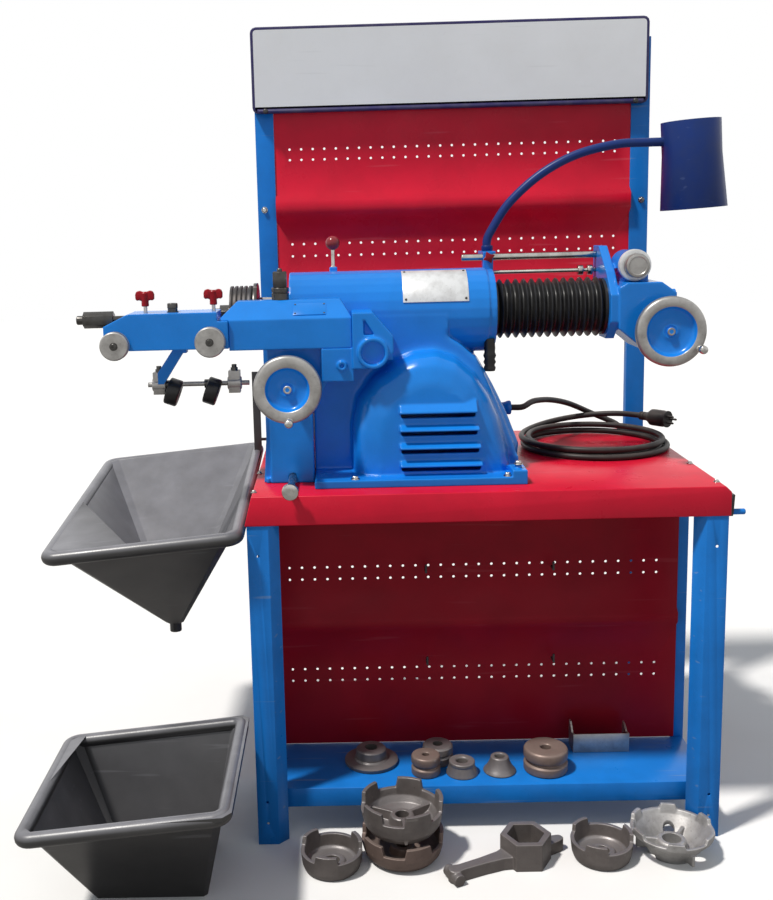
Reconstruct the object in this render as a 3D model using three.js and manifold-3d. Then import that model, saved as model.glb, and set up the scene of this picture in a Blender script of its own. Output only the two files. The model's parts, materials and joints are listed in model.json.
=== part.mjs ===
// Brake lathe on its bench, with boards, sign, lamp, chip bins, power cord and loose adapters.
// Millimetres, +Z up. X runs along the spindle to the right, Y away from the operator.
// Sizes are measured from the bench: its front face is y = 0, its middle x = 0, the floor z = 0.
import * as THREE from 'three';
import { mergeVertices } from 'three/addons/utils/BufferGeometryUtils.js';
import Module from 'manifold-3d';

const wasm = await Module();
wasm.setup();

// Clearances shared by all pieces
const gap = 0.3;
const overrun = 2;
const fine = 0.0001;

// Facet counts
const fewSides = 8;
const someSides = 12;
const sides = 16;
const wheelSides = 20;
const cupSides = 16;
const barrelSides = 28;

// Paints and metals
const blue = { color: '#1c66c8', roughness: 0.35, metalness: 0.1 };
const deepBlue = { color: '#17357c', roughness: 0.4, metalness: 0.1 };
const red = { color: '#c9122a', roughness: 0.35, metalness: 0.1 };
const white = { color: '#f3f2ee', roughness: 0.4, metalness: 0 };
const black = { color: '#16171a', roughness: 0.55, metalness: 0 };
const rubber = { color: '#0f0f11', roughness: 0.8, metalness: 0 };
const steel = { color: '#8f8f8c', roughness: 0.35, metalness: 0.9 };
const darkSteel = { color: '#3a3835', roughness: 0.5, metalness: 0.8 };
const aluminium = { color: '#b3aea2', roughness: 0.45, metalness: 0.8 };
const castIron = { color: '#4c4240', roughness: 0.6, metalness: 0.6 };
const plateMetal = { color: '#dcdcd8', roughness: 0.4, metalness: 0.5 };
const ballRed = { color: '#a8313a', roughness: 0.3, metalness: 0 };
const glass = { color: '#f4efe0', roughness: 0.2, metalness: 0 };

// Bench, its sheet metal and the boards
const bench = { width: 1120, depth: 720, height: 870, apron: 69.5, sheet: 3, rake: 18, corner: 14 };
const leg = { inset: 1.4, face: 50, side: 46, lip: 24, lean: 24, sheet: 3, holeRadius: 3.5, holeTop: 70, holePitch: 110 };
const boardPost = { setback: 288, side: 32, face: 34, sheet: 3 };
const backPost = { inset: 7, face: 52, side: 30, sheet: 3, signLap: 180 };
const shelf = { setback: 50, height: 119, lip: 48, sheet: 3 };
const board = { sheet: 2, moduleHeight: 270, foldDepth: 20, foldFace: 42, foldSlope: 16, bottomLip: 26 };
const lowBoard = { bottom: 128, foldAt: 430, sideGap: 8, foldDepth: 12, foldFace: 36 };
const highBoard = { bottom: 1238, modules: 2, topLap: 12 };
const sign = { width: 1100, bottom: 1792, height: 232, thickness: 20, corner: 16, offset: 7, lip: 9, lipDepth: 6 };

// Lathe: spindle axis above the bench top and back from the bench front
const lathe = { axisBack: 300, centreHeight: 394 };
const barrel = { radius: 104, left: -450, right: 36, ring: 18, ringRadius: 100, boreClear: 0.5 };
const casing = { left: -396, width: 500, front: 196, back: 490, wall: 16, neckHeight: 250 };
const base = { front: 62, back: 520, thick: 18, foot: 35, footHeight: 34, bolt: 8, boltHead: 9 };
const boltSeat = { back: 90, inset: 18 };
const cover = { wall: 5, left: 92, width: 384, height: 293, depth: 88 };
const louvre = { count: 4, left: -192, right: -8, first: 198, tall: 30, height: 20, pitch: 43, reach: 17, slot: 12, sink: 9, trim: 4 };
const sidePlate = { thick: 12, depth: 230, back: 22 };
const plate = { left: -174, right: -15, thick: 1.4, fromDegrees: 16, toDegrees: 74, steps: 8 };
const rodClamp = { left: 40, right: 66, front: 364, back: 396, sink: 30, head: 14 };
const lampArm = { back: 470, width: 30, drop: 24 };
const gland = { back: 430, height: 120, radius: 15, reach: 34, seat: 40, collar: 19, collarLength: 9 };

// Cross feed column, its saddle with the ring boss, and the slide
const column = { left: -502, width: 104, front: 130, back: 300, headLeft: -502, headRight: -299 };
const web = { reach: 18, height: 166, thick: 22, foot: 12, boltRadius: 7, boltHead: 6 };
const brace = { shoulder: 180, run: 68 };
const boss = { centreX: -252, drop: 78, outer: 37, inner: 28, depth: 106, pocket: 8, proud: 10, plateTop: 16, plateWidth: 96 };
const notch = { left: 21, right: 4, top: 4, bottom: 36, depth: 14 };
const lockScrew = { offset: 73, drop: 29, radius: 12, socket: 6, socketDepth: 7, length: 20 };
const slide = { left: -588, right: -300, front: 100, back: 190, drop: 66, height: 71, bevelRise: 41 };
const bevel = { leftReach: 25, backLeft: -18, backRight: 26, run: 50 };
const label = { left: -436, right: -360, depth: 1.2, margin: 8 };
const wheel = { radius: 80, rim: 15, dish: 53, depth: 26, dishDepth: 14, hub: 19, hubNut: 9, web: 7, shaft: 13 };
const crossWheel = { x: -453, front: 50, drop: 155 };
const crank = { rimInset: 6, pinRadius: 4, neck: 7, head: 10.5, length: 34, taper: 5, pinLength: 9, degrees: 88 };
const knob = { x: -450, front: -30, rise: 16, head: 20, headLength: 14, shaft: 9, travelRoom: 40 };

// Twin cutter carried on the slide
const cutter = { left: -822, nose: 58, front: 92, back: 190, drop: 60, height: 86, noseDeep: 50, noseTop: 58, noseBottom: 34 };
const leftDial = { x: -853, drop: 46, radius: 34, length: 22, stem: 11, stemLength: 12 };
const rightDial = { x: -630, drop: 42, radius: 36, length: 22, stem: 11, stemLength: 12 };
const thumb = { leftX: -785, rightX: -624, back: 132, stem: 4.5, rise: 29, wing: 22, wingHeight: 24, wingThick: 8, hub: 9 };
const topScrew = { x: -721, radius: 11, height: 20, socket: 6, socketDepth: 8 };
const holder = { knob: 17, knobRadius: 11, hexLength: 72, hexRadius: 20, back: 166, rise: 9, shank: 10, stroke: 46, seat: 40 };
const clampNut = { x: -468, back: 170, collar: 18.5, collarHeight: 29, hex: 19, hexHeight: 38, stud: 6, studHeight: 7 };

// Silencer under the cutter
const silencer = { back: 200, rodLeft: -800, rodRight: -552, rodRise: -156, rodRadius: 6, armThick: 15, armWidth: 26 };
const silencerClamp = { leftX: -772, rightX: -588, width: 28, height: 54, depth: 26, rise: 4, cap: 6.5, capHeight: 15, post: 9 };
const silencerHanger = { x: -712, width: 30 };
const pad = { leftX: -736, rightX: -640, radius: 32, thick: 24, bevel: 4, tilt: 20, drop: 14, hub: 12, hubLength: 26 };

// Spindle group: quill, arbor, bellows, flange, feed box, rods
const quill = { radius: 44, left: -520, bore: 20, boreDepth: 130 };
const arbor = { flangeLeft: -540, flange: 10, flangeRadius: 80, shaft: 19, end: -650, shankGap: 8, bevel: 2 };
const adapter = { radius: 74, left: -598, ribs: 5, groove: 5, grooveDepth: 4 };
const nut = { radius: 27, length: 24, washer: 32, washerThick: 5 };
const bellows = { radius: 74, valley: 62, bore: 52, ribs: 13, cuff: 8, cuffRadius: 70, boreEvery: 5, valleyShare: 0.08 };
const flange = { left: 329, thick: 22, half: 85, foot: 78, shoulder: 66, armTop: 148, armBack: 110, armWidth: 60 };
const box = { right: 487, front: 212, back: 388, bottom: 117, top: 62, waist: 50, shoulder: 36, rise: 12, sideRise: 18 };
const dialSeat = { x: 392, rise: 102, radius: 36, front: 252, back: 340, footLeft: 25 };
const dial = { radius: 39, thick: 16, knob: 29, knobLength: 26, offset: 8, pointer: 7, pointerLength: 18 };
const feedWheel = { x: 459, front: 150, drop: 53, radius: 84, boss: 26 };
const boxBolt = { rise: 29, radius: 10, length: 22 };
const feedCrankDegrees = -32;
const stopRod = { left: -14, back: 380, rise: 126, radius: 8.5 };
const tripRod = { left: 84, rise: 87, radius: 5, collar: 13, collarLeft: 283, collarLength: 13, collarGap: 11 };
const star = { radius: 16, hub: 8, thick: 9, points: 4, stem: 4.5, stemLength: 9, shareIn: 0.55 };
const lever = { x: -341, back: 340, ball: 18, stem: 4.5, ballRise: 173, hub: 8, seatRise: 100, fork: 10, forkRise: 13 };

// Lamp
const lamp = { back: 450, footX: 61.6, tube: 11.5, shadeLeft: 511, shadeRadius: 75, flare: 9, wall: 3, shadeBottom: 1494 };
const shade = { height: 222, armDrop: 47, tilt: -3.4, bossLength: 14 };
const bulb = { socket: 19, socketLength: 62, bulb: 30, length: 112, neck: 14, tipShare: 0.8 };

// Power cord
const cord = { radius: 8, tubeSides: 8 };
const coil = { x: 350, y: 480, radius: 196, pitch: 18, turnsIn: 1.5, startDegrees: 40, stepsPerTurn: 24, sides: 6 };
const plug = { radius: 23, neck: 12, neckLength: 26, length: 62, rise: 33, pinRadius: 3, pinLength: 20, pinSpread: 10 };

// Chip bins
const hangBin = { width: 436, depth: 744, setback: 371, drop: 68, riseX: 40, riseY: 57, lip: 19, lipDrop: 9, wall: 4 };
const hangBase = { x: 32, y: -134, z: -305, width: 44, depth: 44 };
const drain = { radius: 15, length: 26 };
const strap = { setback: 80, width: 22, thick: 4, rise: 272, hook: 18 };
const floorBin = { clear: 15, y: -138, z: 272, width: 424, depth: 450, riseX: 42, riseY: -7, lip: 18, lipDrop: 9, wall: 4 };
const floorBase = { x: 20, y: 52, width: 256, depth: 230 };

// Loose adapters on the floor and on the shelf
const leftCup = { x: -377, y: -93, radius: 73, height: 58, floor: 12, wall: 9, hub: 17, bore: 12, tab: 24, tabs: 3 };
const rightCup = { x: 257, y: -72, radius: 74, height: 48, floor: 12, wall: 9, hub: 17, bore: 12, tab: 26, tabs: 4 };
const bell = { x: -209, y: -50, radius: 98, height: 44, floor: 12, wall: 10, hub: 30, bore: 18, tab: 25, tabs: 8 };
const alloy = { x: 425, y: -58, radius: 97, foot: 52, height: 74, floor: 11, wall: 8, hub: 26, bore: 17, hole: 9, holes: 8 };
const alloyRing = { holeShare: 0.62, tab: 10, tabs: 6 };
const wrench = { x: 78, y: -77, hex: 60, hexBore: 44, height: 66, arm: 38, armHeight: 24, left: 207, right: 94, degrees: 25 };
const stack = { x: -139, y: 118, radius: 37, height: 50, bore: 12, groove: 4 };
const cylinder = { x: -49, y: 114, radius: 41, top: 34, height: 34, bore: 14 };
const cone = { x: 46, y: 121, radius: 42, top: 26, height: 40, bore: 13 };
const grooved = { x: 162, y: 126, radius: 56, height: 60, bore: 15, groove: 5 };

// Places that several pieces share
const top = bench.height;
const axisZ = top + lathe.centreHeight;
const axisY = lathe.axisBack;
const ringEnd = barrel.right + barrel.ring;
const flangeLeft = flange.left;
const flangeRight = flange.left + flange.thick;
const slideBottom = axisZ - slide.drop;
const slideTop = slideBottom + slide.height + slide.bevelRise;
const backPlane = bench.depth + gap;

// Shape helpers

// Geometry to a closed solid with its faces out
function solid(geometry) {
  const bare = geometry.index ? geometry.toNonIndexed() : geometry.clone();
  for (const name of Object.keys(bare.attributes)) {
    if (name !== 'position') bare.deleteAttribute(name);
  }
  const merged = mergeVertices(bare, fine);
  const at = merged.attributes.position.array;
  const index = merged.index.array;
  const kept = [];
  let volume = 0;
  for (let i = 0; i < index.length; i += 3) {
    const [a, b, c] = [index[i], index[i + 1], index[i + 2]];
    if (a === b || b === c || c === a) continue;
    kept.push(a, b, c);
    const [pa, pb, pc] = [a, b, c].map((k) => new THREE.Vector3(at[3 * k], at[3 * k + 1], at[3 * k + 2]));
    volume += pa.dot(pb.cross(pc));
  }
  if (volume < 0) {
    for (let i = 0; i < kept.length; i += 3) [kept[i], kept[i + 1]] = [kept[i + 1], kept[i]];
  }
  const mesh = new wasm.Mesh({ numProp: 3, vertProperties: new Float32Array(at), triVerts: new Uint32Array(kept) });
  return new wasm.Manifold(mesh);
}

function basis(axis) {
  const m = new THREE.Matrix4();
  if (axis === 'x') m.set(0, 0, 1, 0, 1, 0, 0, 0, 0, 1, 0, 0, 0, 0, 0, 1);
  if (axis === 'y') m.set(1, 0, 0, 0, 0, 0, -1, 0, 0, 1, 0, 0, 0, 0, 0, 1);
  return m;
}

// Outline in the plane across an axis, drawn out between two places on it
function prism(axis, outline, from, to) {
  const shape = new THREE.Shape(outline.map(([a, b]) => new THREE.Vector2(a, b)));
  const geometry = new THREE.ExtrudeGeometry(shape, { depth: to - from, bevelEnabled: false, steps: 1 });
  geometry.applyMatrix4(basis(axis));
  if (axis === 'x') geometry.translate(from, 0, 0);
  if (axis === 'y') geometry.translate(0, to, 0);
  if (axis === 'z') geometry.translate(0, 0, from);
  return solid(geometry);
}

function block(x0, x1, y0, y1, z0, z1) {
  const geometry = new THREE.BoxGeometry(x1 - x0, y1 - y0, z1 - z0);
  geometry.translate((x0 + x1) / 2, (y0 + y1) / 2, (z0 + z1) / 2);
  return solid(geometry);
}

function circle(radius, count, a = 0, b = 0, turn = 0) {
  const points = [];
  for (let i = 0; i < count; i += 1) {
    const angle = turn + (2 * Math.PI * i) / count;
    points.push([a + radius * Math.cos(angle), b + radius * Math.sin(angle)]);
  }
  return points;
}

// Round bar along an axis, centred at (a, b) in the other two directions
function bar(axis, radius, from, to, a, b, count = sides) {
  return prism(axis, circle(radius, count, a, b, Math.PI / count), from, to);
}

// Profile of [place along the axis, radius] turned about a line along the axis
function turned(axis, profile, a, b, count = sides) {
  const points = profile.map(([along, radius]) => new THREE.Vector2(radius, along));
  const geometry = new THREE.LatheGeometry(points, count);
  geometry.rotateY(Math.PI / count);
  if (axis === 'x') geometry.applyMatrix4(new THREE.Matrix4().set(0, 1, 0, 0, 1, 0, 0, 0, 0, 0, -1, 0, 0, 0, 0, 1));
  if (axis === 'z') geometry.rotateX(Math.PI / 2);
  if (axis === 'x') geometry.translate(0, a, b);
  if (axis === 'y') geometry.translate(a, 0, b);
  if (axis === 'z') geometry.translate(a, b, 0);
  return solid(geometry);
}

// Skin over rings of points, closed by a flat fan at each end
function rings(list) {
  const count = list[0].length;
  const points = list.flat(2);
  const index = [];
  for (let r = 0; r + 1 < list.length; r += 1) {
    for (let i = 0; i < count; i += 1) {
      const a = r * count + i;
      const b = r * count + ((i + 1) % count);
      index.push(a, b, a + count, b, b + count, a + count);
    }
  }
  const last = (list.length - 1) * count;
  for (let i = 1; i + 1 < count; i += 1) {
    index.push(0, i + 1, i);
    index.push(last, last + i, last + i + 1);
  }
  const geometry = new THREE.BufferGeometry();
  geometry.setAttribute('position', new THREE.Float32BufferAttribute(points, 3));
  geometry.setIndex(index);
  return geometry;
}

// Sheet of even thickness along a bent line in the (y, z) plane, the thickness lying behind it
function strip(path, thick) {
  const back = path.map((point, i) => {
    const before = path[Math.max(i - 1, 0)];
    const after = path[Math.min(i + 1, path.length - 1)];
    const one = new THREE.Vector2(point[0] - before[0], point[1] - before[1]);
    const two = new THREE.Vector2(after[0] - point[0], after[1] - point[1]);
    if (one.length() === 0) one.copy(two);
    if (two.length() === 0) two.copy(one);
    one.normalize();
    two.normalize();
    const normal = new THREE.Vector2(one.y + two.y, -one.x - two.x).normalize();
    const reach = thick / (normal.x * one.y - normal.y * one.x);
    return [point[0] + normal.x * reach, point[1] + normal.y * reach];
  });
  return [...path, ...back.reverse()];
}

function sweep(points, radius, count, steps, straight = false) {
  const list = points.map((p) => new THREE.Vector3(...p));
  const path = straight ? new THREE.LineCurve3(list[0], list[1]) : new THREE.CatmullRomCurve3(list);
  const shape = new THREE.Shape(circle(radius, count).map(([a, b]) => new THREE.Vector2(a, b)));
  return solid(new THREE.ExtrudeGeometry(shape, { extrudePath: path, steps, bevelEnabled: false }));
}

function mirrorX(outline) {
  return outline.map(([x, y]) => [-x, y]);
}

function roundedRect(x0, x1, z0, z1, radius, count = 3) {
  const points = [];
  const corners = [[x1 - radius, z0 + radius, -90], [x1 - radius, z1 - radius, 0]];
  corners.push([x0 + radius, z1 - radius, 90], [x0 + radius, z0 + radius, 180]);
  for (const [cx, cz, from] of corners) {
    for (let i = 0; i <= count; i += 1) {
      const angle = THREE.MathUtils.degToRad(from + (90 * i) / count);
      points.push([cx + radius * Math.cos(angle), cz + radius * Math.sin(angle)]);
    }
  }
  return points;
}

function join(...list) {
  return list.reduce((whole, piece) => whole.add(piece));
}

function spun(piece, degrees, x, y, z) {
  const angle = THREE.MathUtils.degToRad(degrees);
  const [c, s] = [Math.cos(angle), Math.sin(angle)];
  const move = (dx, dy, dz) => [1, 0, 0, 0, 0, 1, 0, 0, 0, 0, 1, 0, dx, dy, dz, 1];
  return piece.transform(move(-x, -y, -z)).transform([c, s, 0, 0, -s, c, 0, 0, 0, 0, 1, 0, 0, 0, 0, 1])
    .transform(move(x, y, z));
}

// Piece leant over about a line along Y through (x, z)
function leant(piece, degrees, x, z) {
  const turn = new THREE.Matrix4().makeRotationY(THREE.MathUtils.degToRad(degrees));
  const there = new THREE.Matrix4().makeTranslation(x, 0, z);
  const back = new THREE.Matrix4().makeTranslation(-x, 0, -z);
  return piece.transform(there.multiply(turn).multiply(back).elements);
}

const model = new THREE.Group();
const cordNodes = [];

// Named mesh of a solid, in its colour
function add(name, piece, look, onCord = false) {
  const data = piece.getMesh();
  const geometry = new THREE.BufferGeometry();
  geometry.setAttribute('position', new THREE.BufferAttribute(new Float32Array(data.vertProperties), 3));
  geometry.setIndex(new THREE.BufferAttribute(new Uint32Array(data.triVerts), 1));
  geometry.computeVertexNormals();
  const mesh = new THREE.Mesh(geometry, new THREE.MeshStandardMaterial(look));
  mesh.name = name;
  if (onCord) cordNodes.push(name);
  model.add(mesh);
  return mesh;
}

// Bench, shelf, boards and sign

const benchEnd = bench.width / 2;
const apronBottom = top - bench.apron;

function panOutline(inset, drop) {
  const right = benchEnd - inset;
  return [
    [-right, apronBottom - drop],
    [right, apronBottom - drop],
    [right, top - inset - bench.corner],
    [right - bench.corner, top - inset],
    [-right + bench.rake, top - inset],
  ];
}

const panOuter = prism('y', panOutline(0, 0), 0, bench.depth);
const panInner = prism('y', panOutline(bench.sheet, overrun), bench.sheet, bench.depth - bench.sheet);
add('bench_top', panOuter.subtract(panInner), red);

const legOuter = benchEnd - bench.sheet - leg.inset;
const legFront = bench.sheet + gap;
const underPan = top - bench.sheet - gap;
const legBehind = legFront + leg.side;

function legSection() {
  const inner = legOuter - leg.face;
  return [
    [legOuter, legFront],
    [legOuter, legBehind],
    [legOuter - leg.sheet, legBehind],
    [legOuter - leg.sheet, legFront + leg.sheet],
    [inner + leg.sheet, legFront + leg.sheet],
    [inner + leg.sheet - leg.lean, legFront + leg.lip],
    [inner - leg.lean, legFront + leg.lip],
    [inner, legFront],
  ];
}

// The pan's bevelled end corner takes the same bevel off each leg's top
function legCorner(side, reach, from, to) {
  const end = benchEnd - bench.sheet - gap;
  const cut = side > 0 ? bench.corner + bench.sheet : bench.rake + bench.sheet;
  const drop = side > 0 ? bench.corner + bench.sheet : bench.apron;
  const outline = [[end + overrun, underPan - drop], [end + overrun, underPan + overrun], [end - cut, underPan + overrun]];
  outline.push([end - cut, underPan], [end, underPan - drop]);
  return prism('y', side > 0 ? outline : mirrorX(outline), from - reach, to + reach);
}

for (const [name, side] of [['front_left_leg', -1], ['front_right_leg', 1]]) {
  const section = side > 0 ? legSection() : mirrorX(legSection());
  let piece = prism('z', section, 0, underPan);
  const middle = side * (legOuter - leg.face / 2);
  for (const z of [underPan - bench.apron - leg.holeTop, leg.holePitch, leg.holePitch / 2]) {
    piece = piece.subtract(bar('y', leg.holeRadius, legFront - overrun, legFront + leg.sheet + overrun, middle, z, fewSides));
  }
  add(name, piece.subtract(legCorner(side, overrun, legFront, legBehind)), blue);
}

const postEnd = boardPost.setback + boardPost.side;

for (const [name, side] of [['left_board_post', -1], ['right_board_post', 1]]) {
  const outline = [
    [legOuter, boardPost.setback],
    [legOuter, postEnd],
    [legOuter - boardPost.sheet, postEnd],
    [legOuter - boardPost.sheet, boardPost.setback + boardPost.sheet],
    [legOuter - boardPost.face, boardPost.setback + boardPost.sheet],
    [legOuter - boardPost.face, boardPost.setback],
  ];
  const piece = prism('z', side > 0 ? outline : mirrorX(outline), 0, underPan);
  add(name, piece.subtract(legCorner(side, overrun, boardPost.setback, postEnd)), blue);
}

const postOuter = benchEnd - backPost.inset;
const postTop = sign.bottom + backPost.signLap;
const postBack = backPlane + backPost.side;

for (const [name, side] of [['left_back_post', -1], ['right_back_post', 1]]) {
  const outline = [
    [postOuter, backPlane],
    [postOuter, postBack],
    [postOuter - backPost.sheet, postBack],
    [postOuter - backPost.sheet, backPlane + backPost.sheet],
    [postOuter - backPost.face + backPost.sheet, backPlane + backPost.sheet],
    [postOuter - backPost.face + backPost.sheet, postBack],
    [postOuter - backPost.face, postBack],
    [postOuter - backPost.face, backPlane],
  ];
  add(name, prism('z', side > 0 ? outline : mirrorX(outline), 0, postTop), blue);
}

// Shelf: a folded tray between the front legs and the lower board
const boardFace = boardPost.setback - gap - board.sheet;
const shelfEnd = legOuter - leg.sheet - gap;
const shelfBack = boardFace - gap;
const shelfPath = [
  [shelf.setback, shelf.height - shelf.lip],
  [shelf.setback, shelf.height],
  [shelfBack, shelf.height],
  [shelfBack, shelf.height - shelf.lip],
];
add('bottom_shelf', prism('x', strip(shelfPath, shelf.sheet), -shelfEnd, shelfEnd), blue);

// Lower board: one sheet with a rib folded across its middle, on the board posts
const lowTop = underPan;
const ribOut = boardFace - lowBoard.foldDepth;
const lowPath = [
  [boardFace, lowBoard.bottom],
  [boardFace, lowBoard.foldAt],
  [ribOut, lowBoard.foldAt + lowBoard.foldDepth],
  [ribOut, lowBoard.foldAt + lowBoard.foldFace],
  [boardFace, lowBoard.foldAt + lowBoard.foldFace + lowBoard.foldDepth],
  [boardFace, lowTop],
];
const lowHalf = legOuter - lowBoard.sideGap - bench.rake;
add('lower_board', prism('x', strip(lowPath, board.sheet), -lowHalf, lowHalf), red);

// Upper board: two bays between the back posts, each ending in a folded ledge
const highFace = backPlane + backPost.sheet;
const highPath = [[highFace, highBoard.bottom - board.bottomLip]];
for (let i = 0; i < highBoard.modules; i += 1) {
  const at = highBoard.bottom + i * board.moduleHeight;
  highPath.push([highFace - board.foldDepth, at]);
  highPath.push([highFace - board.foldDepth, at + board.foldFace]);
  highPath.push([highFace, at + board.foldFace + board.foldSlope]);
  if (i + 1 < highBoard.modules) highPath.push([highFace, at + board.moduleHeight - board.foldSlope]);
}
highPath.push([highFace, sign.bottom + highBoard.topLap]);
const highHalf = postOuter - backPost.face - gap;
add('upper_board', prism('x', strip(highPath, board.sheet), -highHalf, highHalf), red);

// Sign board on the posts, with a small lip along its bottom
const signBack = backPlane - gap;
const signFace = signBack - sign.thickness;
const signLeft = -sign.width / 2 - sign.offset;
const signRight = sign.width / 2 - sign.offset;
const signPanel = roundedRect(signLeft, signRight, sign.bottom, sign.bottom + sign.height, sign.corner);
const signLip = block(signLeft + sign.corner, signRight - sign.corner, signFace - sign.lipDepth, signFace + overrun,
  sign.bottom, sign.bottom + sign.lip);
add('sign_board', prism('y', signPanel, signFace, signBack).add(signLip), white);

// Lathe castings

const casingTop = lathe.centreHeight;
const casingShares = [
  [0, 0], [1.0, 0], [1.0, 0.086], [0.982, 0.165], [0.942, 0.29], [0.901, 0.43], [0.848, 0.584],
  [0.8, 0.718], [0.72, 0.81], [0.66, 0.86], [0.66, 1], [0.03, 1], [0.03, 0.8], [0, 0.76],
];
const casingBottom = top + gap;
const casingOutline = casingShares.map(([u, v]) => [casing.left + u * casing.width, casingBottom + v * (casingTop - gap)]);

// Room inside the casting for the motor, open to the front
const roomShares = [
  [0.209, 0.05], [0.942, 0.05], [0.918, 0.22], [0.868, 0.4], [0.81, 0.54],
  [0.736, 0.64], [0.423, 0.64], [0.275, 0.56], [0.209, 0.4],
];
const roomOutline = roomShares.map(([u, v]) => [casing.left + u * casing.width, casingBottom + v * (casingTop - gap)]);

const barrelShape = turned('x', [
  [barrel.left, 0], [barrel.left, barrel.radius], [barrel.right, barrel.radius],
  [barrel.right, barrel.ringRadius], [ringEnd, barrel.ringRadius], [ringEnd, 0],
], axisY, axisZ, barrelSides);

const baseRight = casing.left + casing.width;
const basePlate = block(casing.left, baseRight - overrun, base.front, base.back, casingBottom, casingBottom + base.thick);
const foot = block(baseRight - base.foot, baseRight, base.front, base.front + base.footHeight * 2, casingBottom,
  casingBottom + base.footHeight);
const footX = baseRight - boltSeat.inset;
const footBolt = bar('z', base.boltHead, casingBottom + base.footHeight - overrun,
  casingBottom + base.footHeight + base.bolt, footX, boltSeat.back, 6);
const clampBlock = block(rodClamp.left, rodClamp.right, rodClamp.front, rodClamp.back,
  axisZ + barrel.ringRadius / 2 - rodClamp.sink, axisZ + stopRod.rise + rodClamp.head)
  .subtract(bar('x', bellows.radius + overrun, ringEnd, rodClamp.right + overrun, axisY, axisZ, barrelSides));
const lampArmTop = axisZ + stopRod.rise + rodClamp.head;
const lampShelf = block(rodClamp.left, lamp.footX + lampArm.width / 2, rodClamp.back - overrun, lampArm.back,
  lampArmTop - lampArm.drop, lampArmTop);
const glandZ = top + gland.height;
const glandFace = baseRight + gland.reach / 2;
const glandShape = turned('x', [
  [baseRight - gland.seat * 2, 0], [baseRight - gland.seat * 2, gland.radius],
  [glandFace - gland.collarLength * 2, gland.radius], [glandFace - gland.collarLength, gland.collar],
  [glandFace, gland.collar], [glandFace, 0],
], gland.back, glandZ, someSides);

// Side cover: a bowed plate standing off the right side of the casting
const sideShares = [[0.8, 0.736], [0.882, 0.545], [0.952, 0.355], [1.01, 0.162], [0.995, 0.04]];
const sideOuter = sideShares.map(([u, v]) => [casing.left + u * casing.width, casingBottom + v * (casingTop - gap)]);
const sideLean = prism('y', [
  ...sideOuter, ...sideOuter.map(([x, z]) => [x - sidePlate.thick, z]).reverse(),
], casing.front + sidePlate.back, casing.front + sidePlate.back + sidePlate.depth);
const sideWeb = prism('y', [
  ...sideOuter.map(([x, z]) => [x - sidePlate.thick / 2, z]),
  [casing.left + casing.width / 2, casingBottom], [casing.left + casing.width / 2, sideOuter[0][1]],
], casing.front + sidePlate.back * 2, casing.front + sidePlate.depth);

// Fork on the barrel that holds the foot of the shift lever
const leverFoot = axisZ + lever.seatRise;
const leverPivot = leverFoot + lever.hub + gap;
const forkTop = leverFoot + lever.forkRise;
const leverFork = block(lever.x - lever.fork, lever.x + lever.fork, lever.back - lever.fork, lever.back + lever.fork,
  axisZ + barrel.radius / 2, forkTop)
  .subtract(block(lever.x - lever.fork - overrun, lever.x + lever.fork + overrun, lever.back - lever.stem - gap,
    lever.back + lever.stem + gap, leverFoot, forkTop + overrun));

let housing = join(
  prism('y', casingOutline, casing.front, casing.back), barrelShape, basePlate, foot, footBolt,
  clampBlock, lampShelf, glandShape, sideLean, sideWeb, leverFork,
);
housing = housing.subtract(prism('y', roomOutline, casing.front - overrun, casing.back - casing.wall));
housing = housing.subtract(bar('x', quill.radius + barrel.boreClear, barrel.left - overrun, ringEnd + overrun, axisY, axisZ, wheelSides));
housing = housing.subtract(bar('x', stopRod.radius + barrel.boreClear, rodClamp.left - overrun, rodClamp.right + overrun,
  stopRod.back, axisZ + stopRod.rise, someSides));
housing = housing.subtract(bar('x', tripRod.radius + barrel.boreClear, rodClamp.left - overrun, rodClamp.right + overrun,
  stopRod.back, axisZ + tripRod.rise, someSides));
add('lathe_housing', housing, blue);

// Motor cover: a domed shell on the front of the casting, with four louvres
const coverBack = casing.front - gap;
const coverFront = coverBack - cover.depth;
const coverBottom = casingBottom + base.thick + gap;
const domeShares = [
  [0, 0], [1, 0], [0.985, 0.16], [0.93, 0.42], [0.865, 0.62], [0.78, 0.79], [0.66, 0.93], [0.53, 0.99],
  [0.4, 0.975], [0.27, 0.91], [0.14, 0.79], [0.04, 0.62], [0, 0.4],
];
const pillowShares = [[0, 1], [0.35, 0.99], [0.65, 0.95], [0.86, 0.86], [1, 0.66]];
const crownShare = 0.3;

function dome(inset) {
  const width = cover.width - 2 * inset;
  const height = cover.height - inset;
  const depth = cover.depth - inset;
  const left = casing.left + cover.left + inset;
  const middle = left + width / 2;
  const list = pillowShares.map(([deep, share]) => domeShares.map(([u, v]) => [
    middle + (u - 1 / 2) * width * share,
    coverBack + (inset ? overrun : 0) - deep * (depth + (inset ? overrun : 0)),
    coverBottom - (inset ? overrun : 0) + Math.max(v, 0) * height * (1 - (1 - share) * (1 - crownShare)),
  ]));
  return solid(rings(list));
}

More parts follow.
